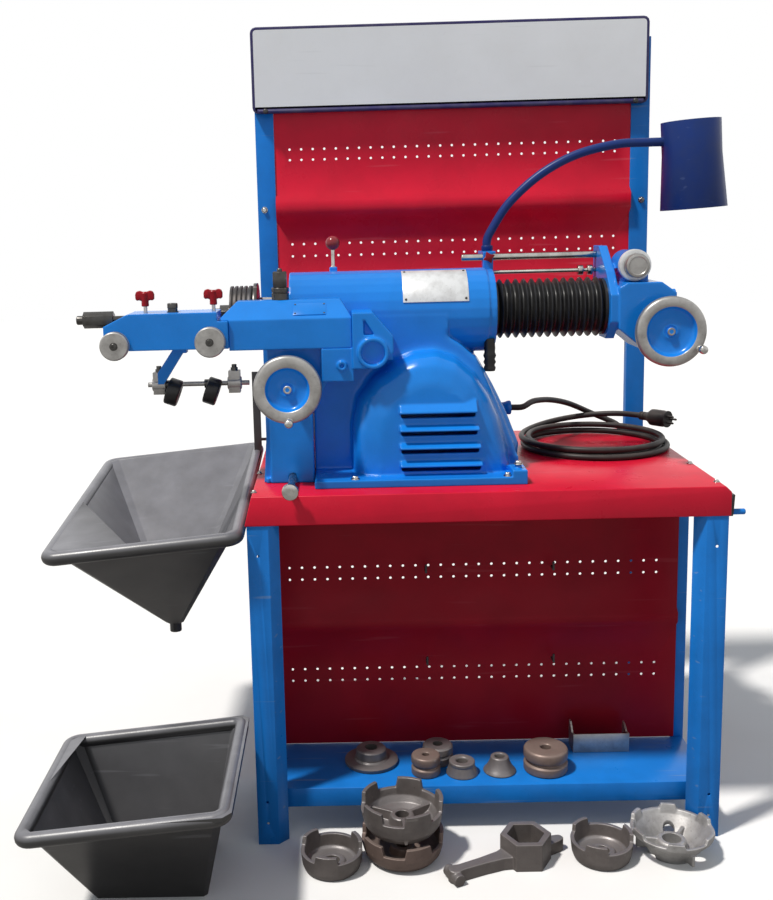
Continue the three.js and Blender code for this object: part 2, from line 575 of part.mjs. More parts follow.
let motorCover = dome(0).subtract(dome(cover.wall));
const louvreTop = casingBottom + louvre.first;
for (let i = 0; i < louvre.count; i += 1) {
  const high = louvreTop - i * louvre.pitch;
  const tall = i === 0 ? louvre.tall : louvre.height;
  const low = louvreTop - louvre.tall - i * louvre.pitch;
  const right = louvre.right + i * louvre.trim;
  const hood = [
    [coverFront + louvre.sink, i === 0 ? high : low + tall],
    [coverFront - louvre.reach, low + louvre.trim],
    [coverFront - louvre.reach, low],
    [coverFront + louvre.sink, low],
  ];
  motorCover = motorCover.add(prism('x', hood, louvre.left, right));
}
for (let i = 0; i < louvre.count; i += 1) {
  const low = louvreTop - louvre.tall - i * louvre.pitch;
  const right = louvre.right + i * louvre.trim;
  motorCover = motorCover.subtract(block(louvre.left + louvre.trim, right - louvre.trim,
    coverFront - louvre.trim, coverFront + louvre.sink * 2, low - louvre.slot, low + louvre.trim));
}
add('motor_cover', motorCover, blue);

// Name plate rolled round the barrel
const plateInner = barrel.radius + gap;
const plateOutline = [];
for (const radius of [plateInner, plateInner + plate.thick]) {
  const arc = [];
  for (let i = 0; i <= plate.steps; i += 1) {
    const angle = THREE.MathUtils.degToRad(plate.fromDegrees + ((plate.toDegrees - plate.fromDegrees) * i) / plate.steps);
    arc.push([axisY - radius * Math.cos(angle), axisZ + radius * Math.sin(angle)]);
  }
  plateOutline.push(...(radius === plateInner ? arc : arc.reverse()));
}
add('name_plate', prism('x', plateOutline, plate.left, plate.right), plateMetal);

// Column with its flared web, brace to the saddle, ring boss and notch
const columnRight = column.left + column.width;
const columnTop = slideBottom - gap;
const columnFace = [
  [column.left, casingBottom],
  [columnRight, casingBottom],
  [columnRight, top + brace.shoulder],
  [columnRight + brace.run, columnTop - brace.run / 2],
  [boss.centreX + boss.plateWidth / 2, columnTop - brace.run / 2],
  [boss.centreX + boss.plateWidth / 2, columnTop],
  [column.left, columnTop],
];
const bossZ = axisZ - boss.drop;
const bossFront = slide.front - boss.proud;
const bossBack = casing.front - gap;
let columnPiece = join(
  prism('y', columnFace, column.front, bossBack),
  prism('y', columnFace.slice(0, 3).concat([[columnRight, columnTop], [column.left, columnTop]]), bossBack - overrun, column.back),
  prism('y', [
    [column.left - web.reach, casingBottom], [column.left + overrun, casingBottom],
    [column.left + overrun, top + web.height], [column.left - web.reach / 3, top + web.height],
  ], column.front + web.foot, column.front + web.foot + web.thick),
  bar('z', web.boltRadius, casingBottom, casingBottom + web.boltHead * 2, column.left - web.reach / 2 + overrun,
    column.front + web.foot - web.boltRadius / 2, 6),
);
const saddleTop = axisZ + boss.plateTop;
const saddleLeft = slide.right + gap;
const saddle = prism('y', [
  [saddleLeft, bossZ - boss.outer], [boss.centreX, bossZ - boss.outer], [boss.centreX + boss.plateWidth / 2, bossZ],
  [boss.centreX + boss.plateWidth / 2, bossZ + boss.outer], [boss.centreX, saddleTop], [saddleLeft, saddleTop],
], bossFront, bossBack);
const under = prism('y', [
  [saddleLeft - lockScrew.offset, columnTop - boss.drop], [saddleLeft + overrun, columnTop - boss.drop],
  [saddleLeft + overrun, columnTop], [saddleLeft - lockScrew.offset, columnTop],
], bossFront + boss.pocket, column.front + overrun);
const lockX = boss.centreX - lockScrew.offset;
const lockZ = bossZ - lockScrew.drop;
columnPiece = join(
  columnPiece, saddle, under,
  bar('y', boss.outer, bossFront - boss.pocket, bossBack, boss.centreX, bossZ, wheelSides),
  bar('y', lockScrew.radius, bossFront, column.front + overrun, lockX, lockZ, someSides),
);
columnPiece = columnPiece
  .subtract(bar('y', boss.inner, bossFront - boss.pocket - overrun, bossFront + boss.pocket, boss.centreX, bossZ, wheelSides))
  .subtract(bar('y', lockScrew.socket, bossFront - overrun, bossFront + lockScrew.socketDepth, lockX, lockZ, 6))
  .subtract(prism('y', [
    [boss.centreX - notch.left, axisZ + notch.top], [boss.centreX + notch.right, axisZ - notch.bottom],
    [boss.centreX - notch.left, axisZ - notch.bottom],
  ], bossFront - overrun, bossFront + notch.depth));
const barrelRoom = turned('x', [
  [barrel.left - gap, 0], [barrel.left - gap, barrel.radius + gap],
  [ringEnd, barrel.radius + gap], [ringEnd, 0],
], axisY, axisZ, barrelSides);
columnPiece = columnPiece.subtract(barrelRoom);
columnPiece = columnPiece.subtract(bar('x', quill.radius + overrun, barrel.left * 2, barrel.left + overrun, axisY, axisZ, wheelSides));
const casingRoom = block(casing.left - gap, baseRight, casing.front - gap, casing.back, casingBottom - overrun, axisZ);
const baseRoom = block(casing.left - gap, baseRight, base.front - gap, base.back, casingBottom - overrun,
  casingBottom + base.thick + gap);
columnPiece = columnPiece.subtract(casingRoom).subtract(baseRoom);
const wheelShaftZ = axisZ - crossWheel.drop;
const knobZ = top + knob.rise;
columnPiece = columnPiece
  .subtract(bar('y', wheel.shaft + gap, column.front - overrun, column.front + wheel.depth, crossWheel.x, wheelShaftZ, wheelSides))
  .subtract(bar('y', knob.shaft + gap, column.front - overrun, column.front + knob.travelRoom + wheel.depth, knob.x, knobZ, sides));
add('cross_column', columnPiece, blue);

// Slide block: square below, bevelled above, its label recess left bare
const bevelBottom = slideBottom + slide.height;
const bevelLeft = slide.left - bevel.leftReach;
let slidePiece = block(slide.left, slide.right, slide.front, slide.back, slideBottom, bevelBottom);
slidePiece = slidePiece.add(solid(rings([
  [
    [bevelLeft, slide.front, bevelBottom], [slide.right, slide.front, bevelBottom],
    [slide.right, slide.back, bevelBottom], [bevelLeft, slide.back, bevelBottom],
  ],
  [
    [slide.left - bevel.backLeft, slide.front + bevel.run, slideTop],
    [slide.right - bevel.backRight, slide.front + bevel.run, slideTop],
    [slide.right - bevel.backRight, slide.back, slideTop], [slide.left - bevel.backLeft, slide.back, slideTop],
  ],
])));
const lean = Math.atan2(slide.bevelRise, bevel.run);
const labelCut = prism('x', [
  [slide.front + label.margin, bevelBottom + label.margin * Math.tan(lean) - label.depth],
  [slide.front + bevel.run - label.margin, slideTop - label.margin * Math.tan(lean) - label.depth],
  [slide.front + bevel.run - label.margin, slideTop + slide.bevelRise],
  [slide.front + label.margin, slideTop + slide.bevelRise],
], label.left, label.right);
add('cross_slide', slidePiece.subtract(labelCut), blue);

// Clamp nut and collar on the slide
const nutZ = slideTop + gap;
add('clamp_nut', join(
  bar('z', clampNut.collar, nutZ, nutZ + clampNut.collarHeight, clampNut.x, clampNut.back, someSides),
  bar('z', clampNut.hex, nutZ + clampNut.collarHeight - fine, nutZ + clampNut.collarHeight + clampNut.hexHeight,
    clampNut.x, clampNut.back, 6),
  bar('z', clampNut.stud, nutZ + clampNut.collarHeight, nutZ + clampNut.collarHeight + clampNut.hexHeight + clampNut.studHeight,
    clampNut.x, clampNut.back, fewSides),
), darkSteel);

// Hand wheels and knobs

// Dished wheel facing the operator; its shaft runs back into what carries it
function handWheel(x, front, z, radius, dish, shaftEnd) {
  const back = front + wheel.depth;
  return turned('y', [
    [front + wheel.dishDepth - wheel.hubNut, 0],
    [front + wheel.dishDepth - wheel.hubNut, wheel.hubNut],
    [front + wheel.dishDepth, wheel.hub],
    [front + wheel.dishDepth, dish - wheel.web],
    [front, dish],
    [front, radius - wheel.web],
    [front + wheel.web, radius],
    [back - wheel.web, radius],
    [back, radius - wheel.rim],
    [front + wheel.dishDepth + wheel.web, dish],
    [front + wheel.dishDepth + wheel.web, wheel.shaft],
    [shaftEnd, wheel.shaft],
    [shaftEnd, 0],
  ], x, z, wheelSides);
}

// Turned grip on a pin that sits in the rim
function crankKnob(x, front, z) {
  return turned('y', [
    [front + crank.pinLength, 0], [front + crank.pinLength, crank.pinRadius],
    [front - gap, crank.pinRadius], [front - gap, crank.neck],
    [front - crank.length / 2, crank.head], [front - crank.length + crank.taper, crank.head],
    [front - crank.length, crank.neck], [front - crank.length, 0],
  ], x, z, someSides);
}

function wheelWithPin(x, front, z, radius, dish, shaftEnd, degrees) {
  const angle = THREE.MathUtils.degToRad(degrees);
  const reach = radius - crank.rimInset;
  const px = x + reach * Math.cos(angle);
  const pz = z + reach * Math.sin(angle);
  const body = handWheel(x, front, z, radius, dish, shaftEnd)
    .subtract(bar('y', crank.pinRadius + gap, front - overrun, front + crank.pinLength + gap, px, pz, someSides));
  return [body, crankKnob(px, front, pz), px, pz];
}

const [crossWheelPiece, crossKnobPiece] = wheelWithPin(crossWheel.x, crossWheel.front, wheelShaftZ, wheel.radius,
  wheel.dish, column.front + wheel.depth - gap, -crank.degrees);
add('cross_handwheel', crossWheelPiece, aluminium);
add('cross_crank_knob', crossKnobPiece, steel);

add('draw_knob', turned('y', [
  [knob.front, 0], [knob.front, knob.head - overrun], [knob.front + overrun, knob.head],
  [knob.front + knob.headLength, knob.head], [knob.front + knob.headLength, knob.shaft],
  [column.front + knob.travelRoom, knob.shaft], [column.front + knob.travelRoom, 0],
], knob.x, knobZ, sides), steel);

// Twin cutter and silencer

const cutterRight = slide.left - gap;
const underBevel = bevelBottom - gap;
const stepAt = bevelLeft - gap;
const cutterBottom = axisZ - cutter.drop;
const cutterTop = cutterBottom + cutter.height;
let cutterPiece = prism('y', [
  [cutter.left, cutterBottom],
  [cutterRight, cutterBottom],
  [cutterRight, underBevel],
  [stepAt, underBevel],
  [stepAt, cutterTop],
  [cutter.left, cutterTop],
], cutter.front, cutter.back);
cutterPiece = cutterPiece.add(prism('y', [
  [cutter.left + overrun, cutterBottom], [cutter.left + overrun, cutterTop], [cutter.left, cutterTop],
  [cutter.left - cutter.nose, cutterBottom + cutter.noseTop], [cutter.left - cutter.nose, cutterBottom + cutter.noseBottom],
  [cutter.left, cutterBottom],
], cutter.front, cutter.front + cutter.noseDeep));
const armFront = cutter.front;
for (const one of [leftDial, rightDial]) {
  cutterPiece = cutterPiece.subtract(bar('y', one.stem + gap, armFront - overrun, armFront + one.stemLength, one.x,
    axisZ - one.drop, wheelSides));
}
cutterPiece = cutterPiece.add(bar('z', topScrew.radius, cutterTop - overrun, cutterTop + topScrew.height, topScrew.x,
  thumb.back, someSides));
cutterPiece = cutterPiece.subtract(bar('z', topScrew.socket, cutterTop + topScrew.height - topScrew.socketDepth,
  cutterTop + topScrew.height + overrun, topScrew.x, thumb.back, 6));
for (const x of [thumb.leftX, thumb.rightX]) {
  cutterPiece = cutterPiece.subtract(bar('z', thumb.stem + gap, cutterTop - thumb.rise, cutterTop + overrun, x, thumb.back, someSides));
}
const dialReach = leftDial.stemLength;
const holderZ = axisZ + holder.rise;
const hexRight = cutter.left - holder.stroke;
const holderEnd = cutter.left + holder.seat;
cutterPiece = cutterPiece.subtract(bar('x', holder.shank + gap, cutter.left - overrun, holderEnd + holder.stroke,
  holder.back, holderZ, someSides));
add('cutter_body', cutterPiece, blue);

function dialPiece(one) {
  const face = armFront - gap;
  return turned('y', [
    [face - one.length, 0], [face - one.length, one.radius - overrun], [face - one.length + overrun, one.radius],
    [face - overrun, one.radius], [face, one.radius - overrun], [face, one.stem],
    [face + dialReach - gap, one.stem], [face + dialReach - gap, 0],
  ], one.x, axisZ - one.drop, wheelSides);
}
add('left_dial', dialPiece(leftDial), aluminium);
add('right_dial', dialPiece(rightDial), aluminium);

function thumbScrew(x) {
  const stemTop = cutterTop + thumb.rise;
  return join(
    bar('z', thumb.stem, cutterTop - thumb.rise + gap, stemTop + thumb.wingHeight / 2, x, thumb.back, fewSides),
    bar('z', thumb.hub, stemTop, stemTop + thumb.wingHeight / 2, x, thumb.back, fewSides),
    block(x - thumb.wing, x + thumb.wing, thumb.back - thumb.wingThick / 2, thumb.back + thumb.wingThick / 2,
      stemTop + thumb.wingHeight / 5, stemTop + thumb.wingHeight),
  );
}
add('left_thumb_screw', thumbScrew(thumb.leftX), red);
add('right_thumb_screw', thumbScrew(thumb.rightX), red);

const hexLeft = hexRight - holder.hexLength;
add('tool_holder', join(
  turned('x', [
    [hexLeft - holder.knob, 0], [hexLeft - holder.knob, holder.knobRadius - overrun],
    [hexLeft - holder.knob + overrun, holder.knobRadius], [hexLeft + overrun, holder.knobRadius],
    [hexLeft + overrun, holder.shank], [holderEnd, holder.shank], [holderEnd, 0],
  ], holder.back, holderZ, someSides),
  bar('x', holder.hexRadius, hexLeft, hexRight, holder.back, holderZ, 6),
), darkSteel);

// Silencer: hanger, cross rod and clamps in one piece, with a pad on each side of the disc
const rodZ = axisZ + silencer.rodRise;
const hangerTop = cutterBottom - gap;
const clampTop = rodZ + silencerClamp.rise + silencerClamp.height / 2;
const clampShape = (x) => join(
  block(x - silencerClamp.width / 2, x + silencerClamp.width / 2, silencer.back - silencerClamp.depth / 2,
    silencer.back + silencerClamp.depth / 2, clampTop - silencerClamp.height, clampTop),
  bar('z', silencerClamp.post, clampTop - overrun, clampTop + silencerClamp.capHeight / 2, x, silencer.back, someSides),
  bar('z', silencerClamp.cap, clampTop, clampTop + silencerClamp.capHeight, x, silencer.back, fewSides),
);
const hangerLeft = silencerHanger.x - silencerHanger.width / 2;
const hangerRight = silencerHanger.x + silencerHanger.width / 2;
const hangerFoot = block(hangerLeft, hangerRight, cutter.back - silencerHanger.width, cutter.back,
  hangerTop - silencer.armThick, hangerTop);
const hangerArm = prism('y', [
  [hangerLeft, hangerTop], [hangerRight, hangerTop],
  [silencerClamp.leftX + silencerClamp.width / 2, clampTop - silencerClamp.height / 2],
  [silencerClamp.leftX, clampTop - silencerClamp.height / 2], [silencerClamp.leftX, clampTop],
], cutter.back - silencer.armThick, cutter.back + silencer.armThick / 3);
add('silencer_arm', join(
  clampShape(silencerClamp.leftX), clampShape(silencerClamp.rightX), hangerArm, hangerFoot,
  bar('x', silencer.rodRadius, silencer.rodLeft, silencer.rodRight, silencer.back, rodZ, someSides),
), aluminium);

// Rubber-faced disc set askew on its hub, which turns on the cross rod
function padPiece(x) {
  const half = pad.thick / 2;
  const disc = turned('x', [
    [x - half, 0], [x - half, pad.radius - pad.bevel], [x - half + pad.bevel, pad.radius],
    [x + half - pad.bevel, pad.radius], [x + half, pad.radius - pad.bevel], [x + half, 0],
  ], silencer.back, rodZ - pad.drop, sides);
  return leant(disc, pad.tilt, x, rodZ - pad.drop)
    .add(bar('x', pad.hub, x - pad.hubLength / 2, x + pad.hubLength / 2, silencer.back, rodZ, someSides))
    .subtract(bar('x', silencer.rodRadius + gap, x - pad.radius, x + pad.radius, silencer.back, rodZ, someSides));
}
add('silencer_left_pad', padPiece(pad.leftX), rubber);
add('silencer_right_pad', padPiece(pad.rightX), rubber);

// Spindle group and what feeds with it

const flangeFace = flangeLeft - gap;
let quillPiece = bar('x', quill.radius, quill.left, flangeFace, axisY, axisZ, wheelSides);
quillPiece = quillPiece.subtract(bar('x', quill.bore, quill.left - overrun, quill.left + quill.boreDepth, axisY, axisZ, wheelSides));
add('spindle_quill', quillPiece, steel);

const flangeRightFace = arbor.flangeLeft + arbor.flange;
add('spindle_arbor', turned('x', [
  [arbor.end, 0], [arbor.end, arbor.shaft - arbor.bevel], [arbor.end + arbor.bevel, arbor.shaft],
  [arbor.flangeLeft, arbor.shaft], [arbor.flangeLeft, arbor.flangeRadius],
  [flangeRightFace, arbor.flangeRadius], [flangeRightFace, quill.radius], [quill.left - gap, quill.radius],
  [quill.left - gap, quill.bore - gap], [quill.left + quill.boreDepth - arbor.shankGap, quill.bore - gap],
  [quill.left + quill.boreDepth - arbor.shankGap, 0],
], axisY, axisZ, wheelSides), steel);

const adapterRight = arbor.flangeLeft - gap;
const ribPitch = (adapterRight - adapter.left) / adapter.ribs;
const adapterProfile = [[adapter.left, arbor.shaft + gap]];
for (let i = 0; i < adapter.ribs; i += 1) {
  const at = adapter.left + i * ribPitch;
  adapterProfile.push([at, adapter.radius], [at + ribPitch - adapter.groove, adapter.radius]);
  if (i + 1 < adapter.ribs) {
    adapterProfile.push([at + ribPitch - adapter.groove, adapter.radius - adapter.grooveDepth]);
    adapterProfile.push([at + ribPitch, adapter.radius - adapter.grooveDepth]);
  }
}
adapterProfile.push([adapterRight, adapter.radius - adapter.grooveDepth], [adapterRight, arbor.shaft + gap]);
adapterProfile.push([adapter.left, arbor.shaft + gap]);
add('ridged_adapter', turned('x', adapterProfile, axisY, axisZ, wheelSides), black);

const nutRight = adapter.left - gap;
add('arbor_nut', join(
  bar('x', nut.washer, nutRight - nut.washerThick, nutRight, axisY, axisZ, sides),
  bar('x', nut.radius, nutRight - nut.washerThick - nut.length, nutRight - nut.washerThick + fine, axisY, axisZ, 6),
).subtract(bar('x', arbor.shaft + gap, nutRight - nut.length * 2, nutRight + overrun, axisY, axisZ, wheelSides)), darkSteel);

// Bellows: ribs of two rings each between plain cuffs, over an open bore
const bellowsLeft = ringEnd + gap;
const bellowsRight = flangeLeft - gap;
const ribSpace = (bellowsRight - bellowsLeft - 2 * bellows.cuff) / bellows.ribs;
const bellowsProfile = [[bellowsLeft, bellows.cuffRadius], [bellowsLeft + bellows.cuff, bellows.cuffRadius]];
for (let i = 0; i < bellows.ribs; i += 1) {
  const at = bellowsLeft + bellows.cuff + i * ribSpace;
  bellowsProfile.push([at + ribSpace * bellows.valleyShare, bellows.valley]);
  bellowsProfile.push([at + ribSpace / 2, bellows.radius]);
}
bellowsProfile.push([bellowsRight - bellows.cuff, bellows.valley], [bellowsRight - bellows.cuff, bellows.cuffRadius]);
bellowsProfile.push([bellowsRight, bellows.cuffRadius]);
const boreRings = Math.ceil(bellows.ribs / bellows.boreEvery);
for (let i = boreRings; i >= 0; i -= 1) {
  bellowsProfile.push([bellowsLeft + ((bellowsRight - bellowsLeft) * i) / boreRings, bellows.bore]);
}
bellowsProfile.push([bellowsLeft, bellows.cuffRadius]);
add('bellows', turned('x', bellowsProfile, axisY, axisZ, sides), rubber);

// Flange and feed box
const flangeZ = axisZ;
const flangeOutline = [
  [axisY - flange.shoulder / 2, flangeZ - flange.foot], [axisY + flange.shoulder / 2, flangeZ - flange.foot],
  [axisY + flange.half, flangeZ - flange.shoulder / 2], [axisY + flange.armBack, flangeZ + flange.shoulder],
  [axisY + flange.armBack, flangeZ + flange.armTop], [axisY + flange.armBack - flange.armWidth, flangeZ + flange.armTop],
  [axisY - flange.shoulder / 2, flangeZ + flange.half + overrun], [axisY - flange.half, flangeZ + flange.shoulder / 2],
  [axisY - flange.half, flangeZ - flange.shoulder / 2],
];
const boxOutline = [
  [flangeRight - overrun, axisZ - box.waist], [box.right - box.shoulder * 2, axisZ - box.bottom + box.rise],
  [box.right - box.shoulder, axisZ - box.bottom], [box.right, axisZ - box.bottom + box.sideRise],
  [box.right, axisZ + box.shoulder], [box.right - box.shoulder, axisZ + box.top],
  [flangeRight + box.shoulder / 2, axisZ + box.top], [flangeRight - overrun, axisZ + box.waist],
];
const dialZ = axisZ + dialSeat.rise;
const feedWheelZ = axisZ - feedWheel.drop;
const feedWheelBack = feedWheel.front + wheel.depth;
let feedBox = join(
  prism('x', flangeOutline, flangeLeft, flangeRight),
  prism('y', boxOutline, box.front, box.back),
  bar('y', dialSeat.radius, dialSeat.front, dialSeat.back, dialSeat.x, dialZ, wheelSides),
  block(dialSeat.x - dialSeat.footLeft, dialSeat.x + dialSeat.radius, dialSeat.front, dialSeat.back,
    axisZ + box.top - overrun, dialZ),
  bar('y', feedWheel.boss, feedWheelBack + overrun, box.front + overrun, feedWheel.x, feedWheelZ, sides),
  bar('x', boxBolt.radius, box.right - overrun, box.right + boxBolt.length, axisY, axisZ + boxBolt.rise, 6),
);
feedBox = feedBox
  .subtract(bar('y', wheel.shaft + gap, feedWheelBack - overrun, box.front + wheel.depth, feedWheel.x, feedWheelZ, wheelSides))
  .subtract(bar('x', stopRod.radius + gap, flangeLeft - overrun, flangeLeft + flange.thick / 2, stopRod.back,
    axisZ + stopRod.rise, someSides))
  .subtract(bar('x', tripRod.radius + gap, flangeLeft - overrun, flangeLeft + flange.thick / 2, stopRod.back,
    axisZ + tripRod.rise, someSides))
  .subtract(bar('y', dial.pointer, dialSeat.front - overrun, dialSeat.front + dial.thick, dialSeat.x, dialZ, wheelSides));
add('feed_box', feedBox, blue);

const dialBack = dialSeat.front - gap;
add('feed_dial', join(
  turned('y', [
    [dialBack + dial.thick - gap, 0], [dialBack + dial.thick - gap, dial.pointer - gap], [dialBack, dial.pointer - gap],
    [dialBack, dial.radius], [dialBack - dial.thick, dial.radius - overrun], [dialBack - dial.thick, dial.knob],
    [dialBack - dial.thick - dial.knobLength, dial.knob - overrun], [dialBack - dial.thick - dial.knobLength, 0],
  ], dialSeat.x, dialZ, wheelSides),
), aluminium);

const [feedWheelPiece, feedKnobPiece] = wheelWithPin(feedWheel.x, feedWheel.front, feedWheelZ, feedWheel.radius,
  wheel.dish + (feedWheel.radius - wheel.radius) * 2, box.front + wheel.depth - gap, feedCrankDegrees);
add('feed_handwheel', feedWheelPiece, aluminium);
add('feed_crank_knob', feedKnobPiece, steel);

const rodEnd = flangeLeft + flange.thick / 2 - gap;
add('stop_rod', turned('x', [
  [stopRod.left, 0], [stopRod.left, stopRod.radius - overrun], [stopRod.left + overrun, stopRod.radius],
  [rodEnd, stopRod.radius], [rodEnd, 0],
], stopRod.back, axisZ + stopRod.rise, someSides), steel);

const collarTwo = tripRod.collarLeft + tripRod.collarLength + tripRod.collarGap;
const tripLeft = rodClamp.left + gap;
add('trip_rod', turned('x', [
  [tripLeft, 0], [tripLeft, tripRod.radius],
  [tripRod.collarLeft, tripRod.radius], [tripRod.collarLeft, tripRod.collar],
  [tripRod.collarLeft + tripRod.collarLength, tripRod.collar], [tripRod.collarLeft + tripRod.collarLength, tripRod.radius],
  [collarTwo, tripRod.radius], [collarTwo, tripRod.collar],
  [collarTwo + tripRod.collarLength, tripRod.collar], [collarTwo + tripRod.collarLength, tripRod.radius],
  [rodEnd, tripRod.radius], [rodEnd, 0],
], stopRod.back, axisZ + tripRod.rise, someSides), steel);

// Star screw on the front of the rod clamp
const starZ = axisZ + stopRod.rise;
const starX = (rodClamp.left + rodClamp.right) / 2;
const starOutline = [];
for (let i = 0; i < star.points * 2; i += 1) {
  const angle = (Math.PI * (i + 1 / 2)) / star.points;
  const radius = i % 2 ? star.radius * star.shareIn : star.radius;
  starOutline.push([starX + radius * Math.cos(angle), starZ + radius * Math.sin(angle)]);
}
const starBack = rodClamp.front - gap;
add('star_screw', join(
  prism('y', starOutline, starBack - star.stemLength - star.thick, starBack - star.stemLength),
  bar('y', star.hub, starBack - star.stemLength - overrun, starBack, starX, starZ, fewSides),
), red);

// Shift lever: its round foot tilts in the fork on the barrel
const ballAngles = [0, 30, 60, 90, 120, 150, 180];
add('shift_lever', join(
  bar('z', lever.stem, leverPivot, axisZ + lever.ballRise, lever.x, lever.back, fewSides),
  turned('z', ballAngles.map((degrees) => {
    const angle = THREE.MathUtils.degToRad(degrees);
    return [axisZ + lever.ballRise - lever.ball * Math.cos(angle), lever.ball * Math.sin(angle)];
  }), lever.x, lever.back, someSides),
  bar('y', lever.hub, lever.back - lever.stem, lever.back + lever.stem, lever.x, leverPivot, sides),
), ballRed);

// Lamp on its gooseneck

const armTop = lampArmTop + gap;
const shadeTop = lamp.shadeBottom + shade.height;
const armZ = shadeTop - shade.armDrop;
const neckEnd = lamp.shadeLeft - gap;
const neckRun = neckEnd - lamp.footX;
const neckRise = armZ - armTop;
const neckShares = [[0, 0], [0, 0.1], [0.03, 0.21], [0.13, 0.46], [0.305, 0.72], [0.51, 0.9], [0.74, 0.99], [0.93, 1], [1, 1]];
const neckPoints = neckShares.map(([u, v]) => [lamp.footX + u * neckRun, lamp.back, armTop + v * neckRise]);
add('lamp_gooseneck', sweep(neckPoints, lamp.tube, fewSides, wheelSides), deepBlue);

const shadeX = lamp.shadeLeft + lamp.shadeRadius;
let shadePiece = turned('z', [
  [lamp.shadeBottom, lamp.shadeRadius + lamp.flare - lamp.wall], [lamp.shadeBottom, lamp.shadeRadius + lamp.flare],
  [armZ - lamp.shadeRadius / 2, lamp.shadeRadius], [shadeTop, lamp.shadeRadius], [shadeTop, 0],
  [shadeTop - lamp.wall, 0], [shadeTop - lamp.wall, lamp.shadeRadius - lamp.wall],
  [armZ - lamp.shadeRadius / 2, lamp.shadeRadius - lamp.wall],
  [lamp.shadeBottom, lamp.shadeRadius + lamp.flare - lamp.wall],
], shadeX, lamp.back, wheelSides);
const shadeWall = lamp.shadeLeft + lamp.shadeRadius * (1 - Math.cos(Math.PI / wheelSides));
shadePiece = leant(shadePiece, shade.tilt, shadeWall, armZ);
shadePiece = shadePiece.add(bar('x', lamp.tube + lamp.wall, lamp.shadeLeft, shadeWall + shade.bossLength, lamp.back, armZ, someSides));
add('lamp_shade', shadePiece, deepBlue);

const bulbTop = shadeTop - lamp.wall - gap;
const bulbPiece = turned('z', [
  [bulbTop, 0], [bulbTop, bulb.socket], [bulbTop - bulb.socketLength, bulb.socket],
  [bulbTop - bulb.socketLength, bulb.neck], [bulbTop - bulb.socketLength - bulb.bulb, bulb.bulb],
  [bulbTop - bulb.length - bulb.bulb / 2, bulb.bulb * bulb.tipShare], [bulbTop - bulb.length - bulb.bulb, 0],
], shadeX, lamp.back, someSides);
add('lamp_bulb', leant(bulbPiece, shade.tilt, shadeWall, armZ), glass);

// Power cord, its coil and plug

const cordZ = top + cord.radius + gap;
const coilStart = THREE.MathUtils.degToRad(coil.startDegrees);
const coilTurns = 2 * coil.turnsIn;
const coilSteps = Math.round(coilTurns * coil.stepsPerTurn);
const climbTurn = 1 / 2;
const riseTurn = 1 / 3;

// Centre line of the coil: in for half its turns on the bench, then out again on top
function coilPoint(turn) {
  const angle = coilStart - 2 * Math.PI * turn;
  const inward = coil.turnsIn - Math.abs(turn - coil.turnsIn);
  const radius = coil.radius - coil.pitch * inward;
  const climb = THREE.MathUtils.smoothstep(turn, coil.turnsIn - climbTurn / 2, coil.turnsIn + climbTurn / 2);
  const last = THREE.MathUtils.smoothstep(turn, coilTurns - riseTurn, coilTurns);
  const z = cordZ + climb * coil.pitch + last * plug.rise;
  return new THREE.Vector3(coil.x + radius * Math.cos(angle), coil.y + radius * Math.sin(angle), z);
}

const coilLine = [];
for (let i = 0; i <= coilSteps; i += 1) coilLine.push(coilPoint((coilTurns * i) / coilSteps));
const startDirection = new THREE.Vector3(Math.sin(coilStart), -Math.cos(coilStart), 0);
coilLine.unshift(coilLine[0].clone().addScaledVector(startDirection, -2 * cord.radius));
const endAngle = coilStart - 2 * Math.PI * coilTurns;
const endDirection = new THREE.Vector3(Math.sin(endAngle), -Math.cos(endAngle), 0);
coilLine.push(coilLine[coilLine.length - 1].clone().addScaledVector(endDirection, 2 * cord.radius));

// One unbroken tube on a centre line, its end faces square to the given directions
function tubeOn(line, radius, count, first, last) {
  const up = new THREE.Vector3(0, 0, 1);
  return solid(rings(line.map((point, i) => {
    const along = new THREE.Vector3().subVectors(line[Math.min(i + 1, line.length - 1)], line[Math.max(i - 1, 0)]);
    if (i === 0) along.copy(first);
    if (i === line.length - 1) along.copy(last);
    along.normalize();
    const sideways = new THREE.Vector3().crossVectors(along, up).normalize();
    const over = new THREE.Vector3().crossVectors(sideways, along);
    return circle(radius, count, 0, 0, Math.PI / count).map(([a, b]) => [
      point.x + a * sideways.x + b * over.x, point.y + a * sideways.y + b * over.y, point.z + a * sideways.z + b * over.z,
    ]);
  })));
}

add('cord_coil', tubeOn(coilLine, cord.radius, coil.sides, startDirection, endDirection), rubber, true);

let coilGap = Infinity;
for (let i = 0; i < coilLine.length; i += 1) {
  for (let j = i + coil.stepsPerTurn / 2; j < coilLine.length; j += 1) {
    coilGap = Math.min(coilGap, coilLine[i].distanceTo(coilLine[j]) - 2 * cord.radius);
  }
}
console.log(`coil: least gap to itself ${coilGap.toFixed(2)} mm`);

const leadEnd = coilLine[0].clone().addScaledVector(startDirection, -gap);
const leadBack = leadEnd.clone().addScaledVector(startDirection, -4 * cord.radius);
const leadPoints = [
  [glandFace + gap, gland.back, glandZ], [glandFace + 4 * cord.radius, gland.back, glandZ + 1],
  [190, 480, 997], [250, 560, 986], [320, 640, 960], [395, 690, 922], [462, 680, 892],
  [leadBack.x, leadBack.y, leadBack.z + 1], [leadEnd.x, leadEnd.y, leadEnd.z],
];
const leadCurve = new THREE.CatmullRomCurve3(leadPoints.map((p) => new THREE.Vector3(...p)));
const leadLine = leadCurve.getSpacedPoints(wheelSides);
add('cord_lead', tubeOn(leadLine, cord.radius, cord.tubeSides, new THREE.Vector3(1, 0, 0), startDirection), rubber, true);

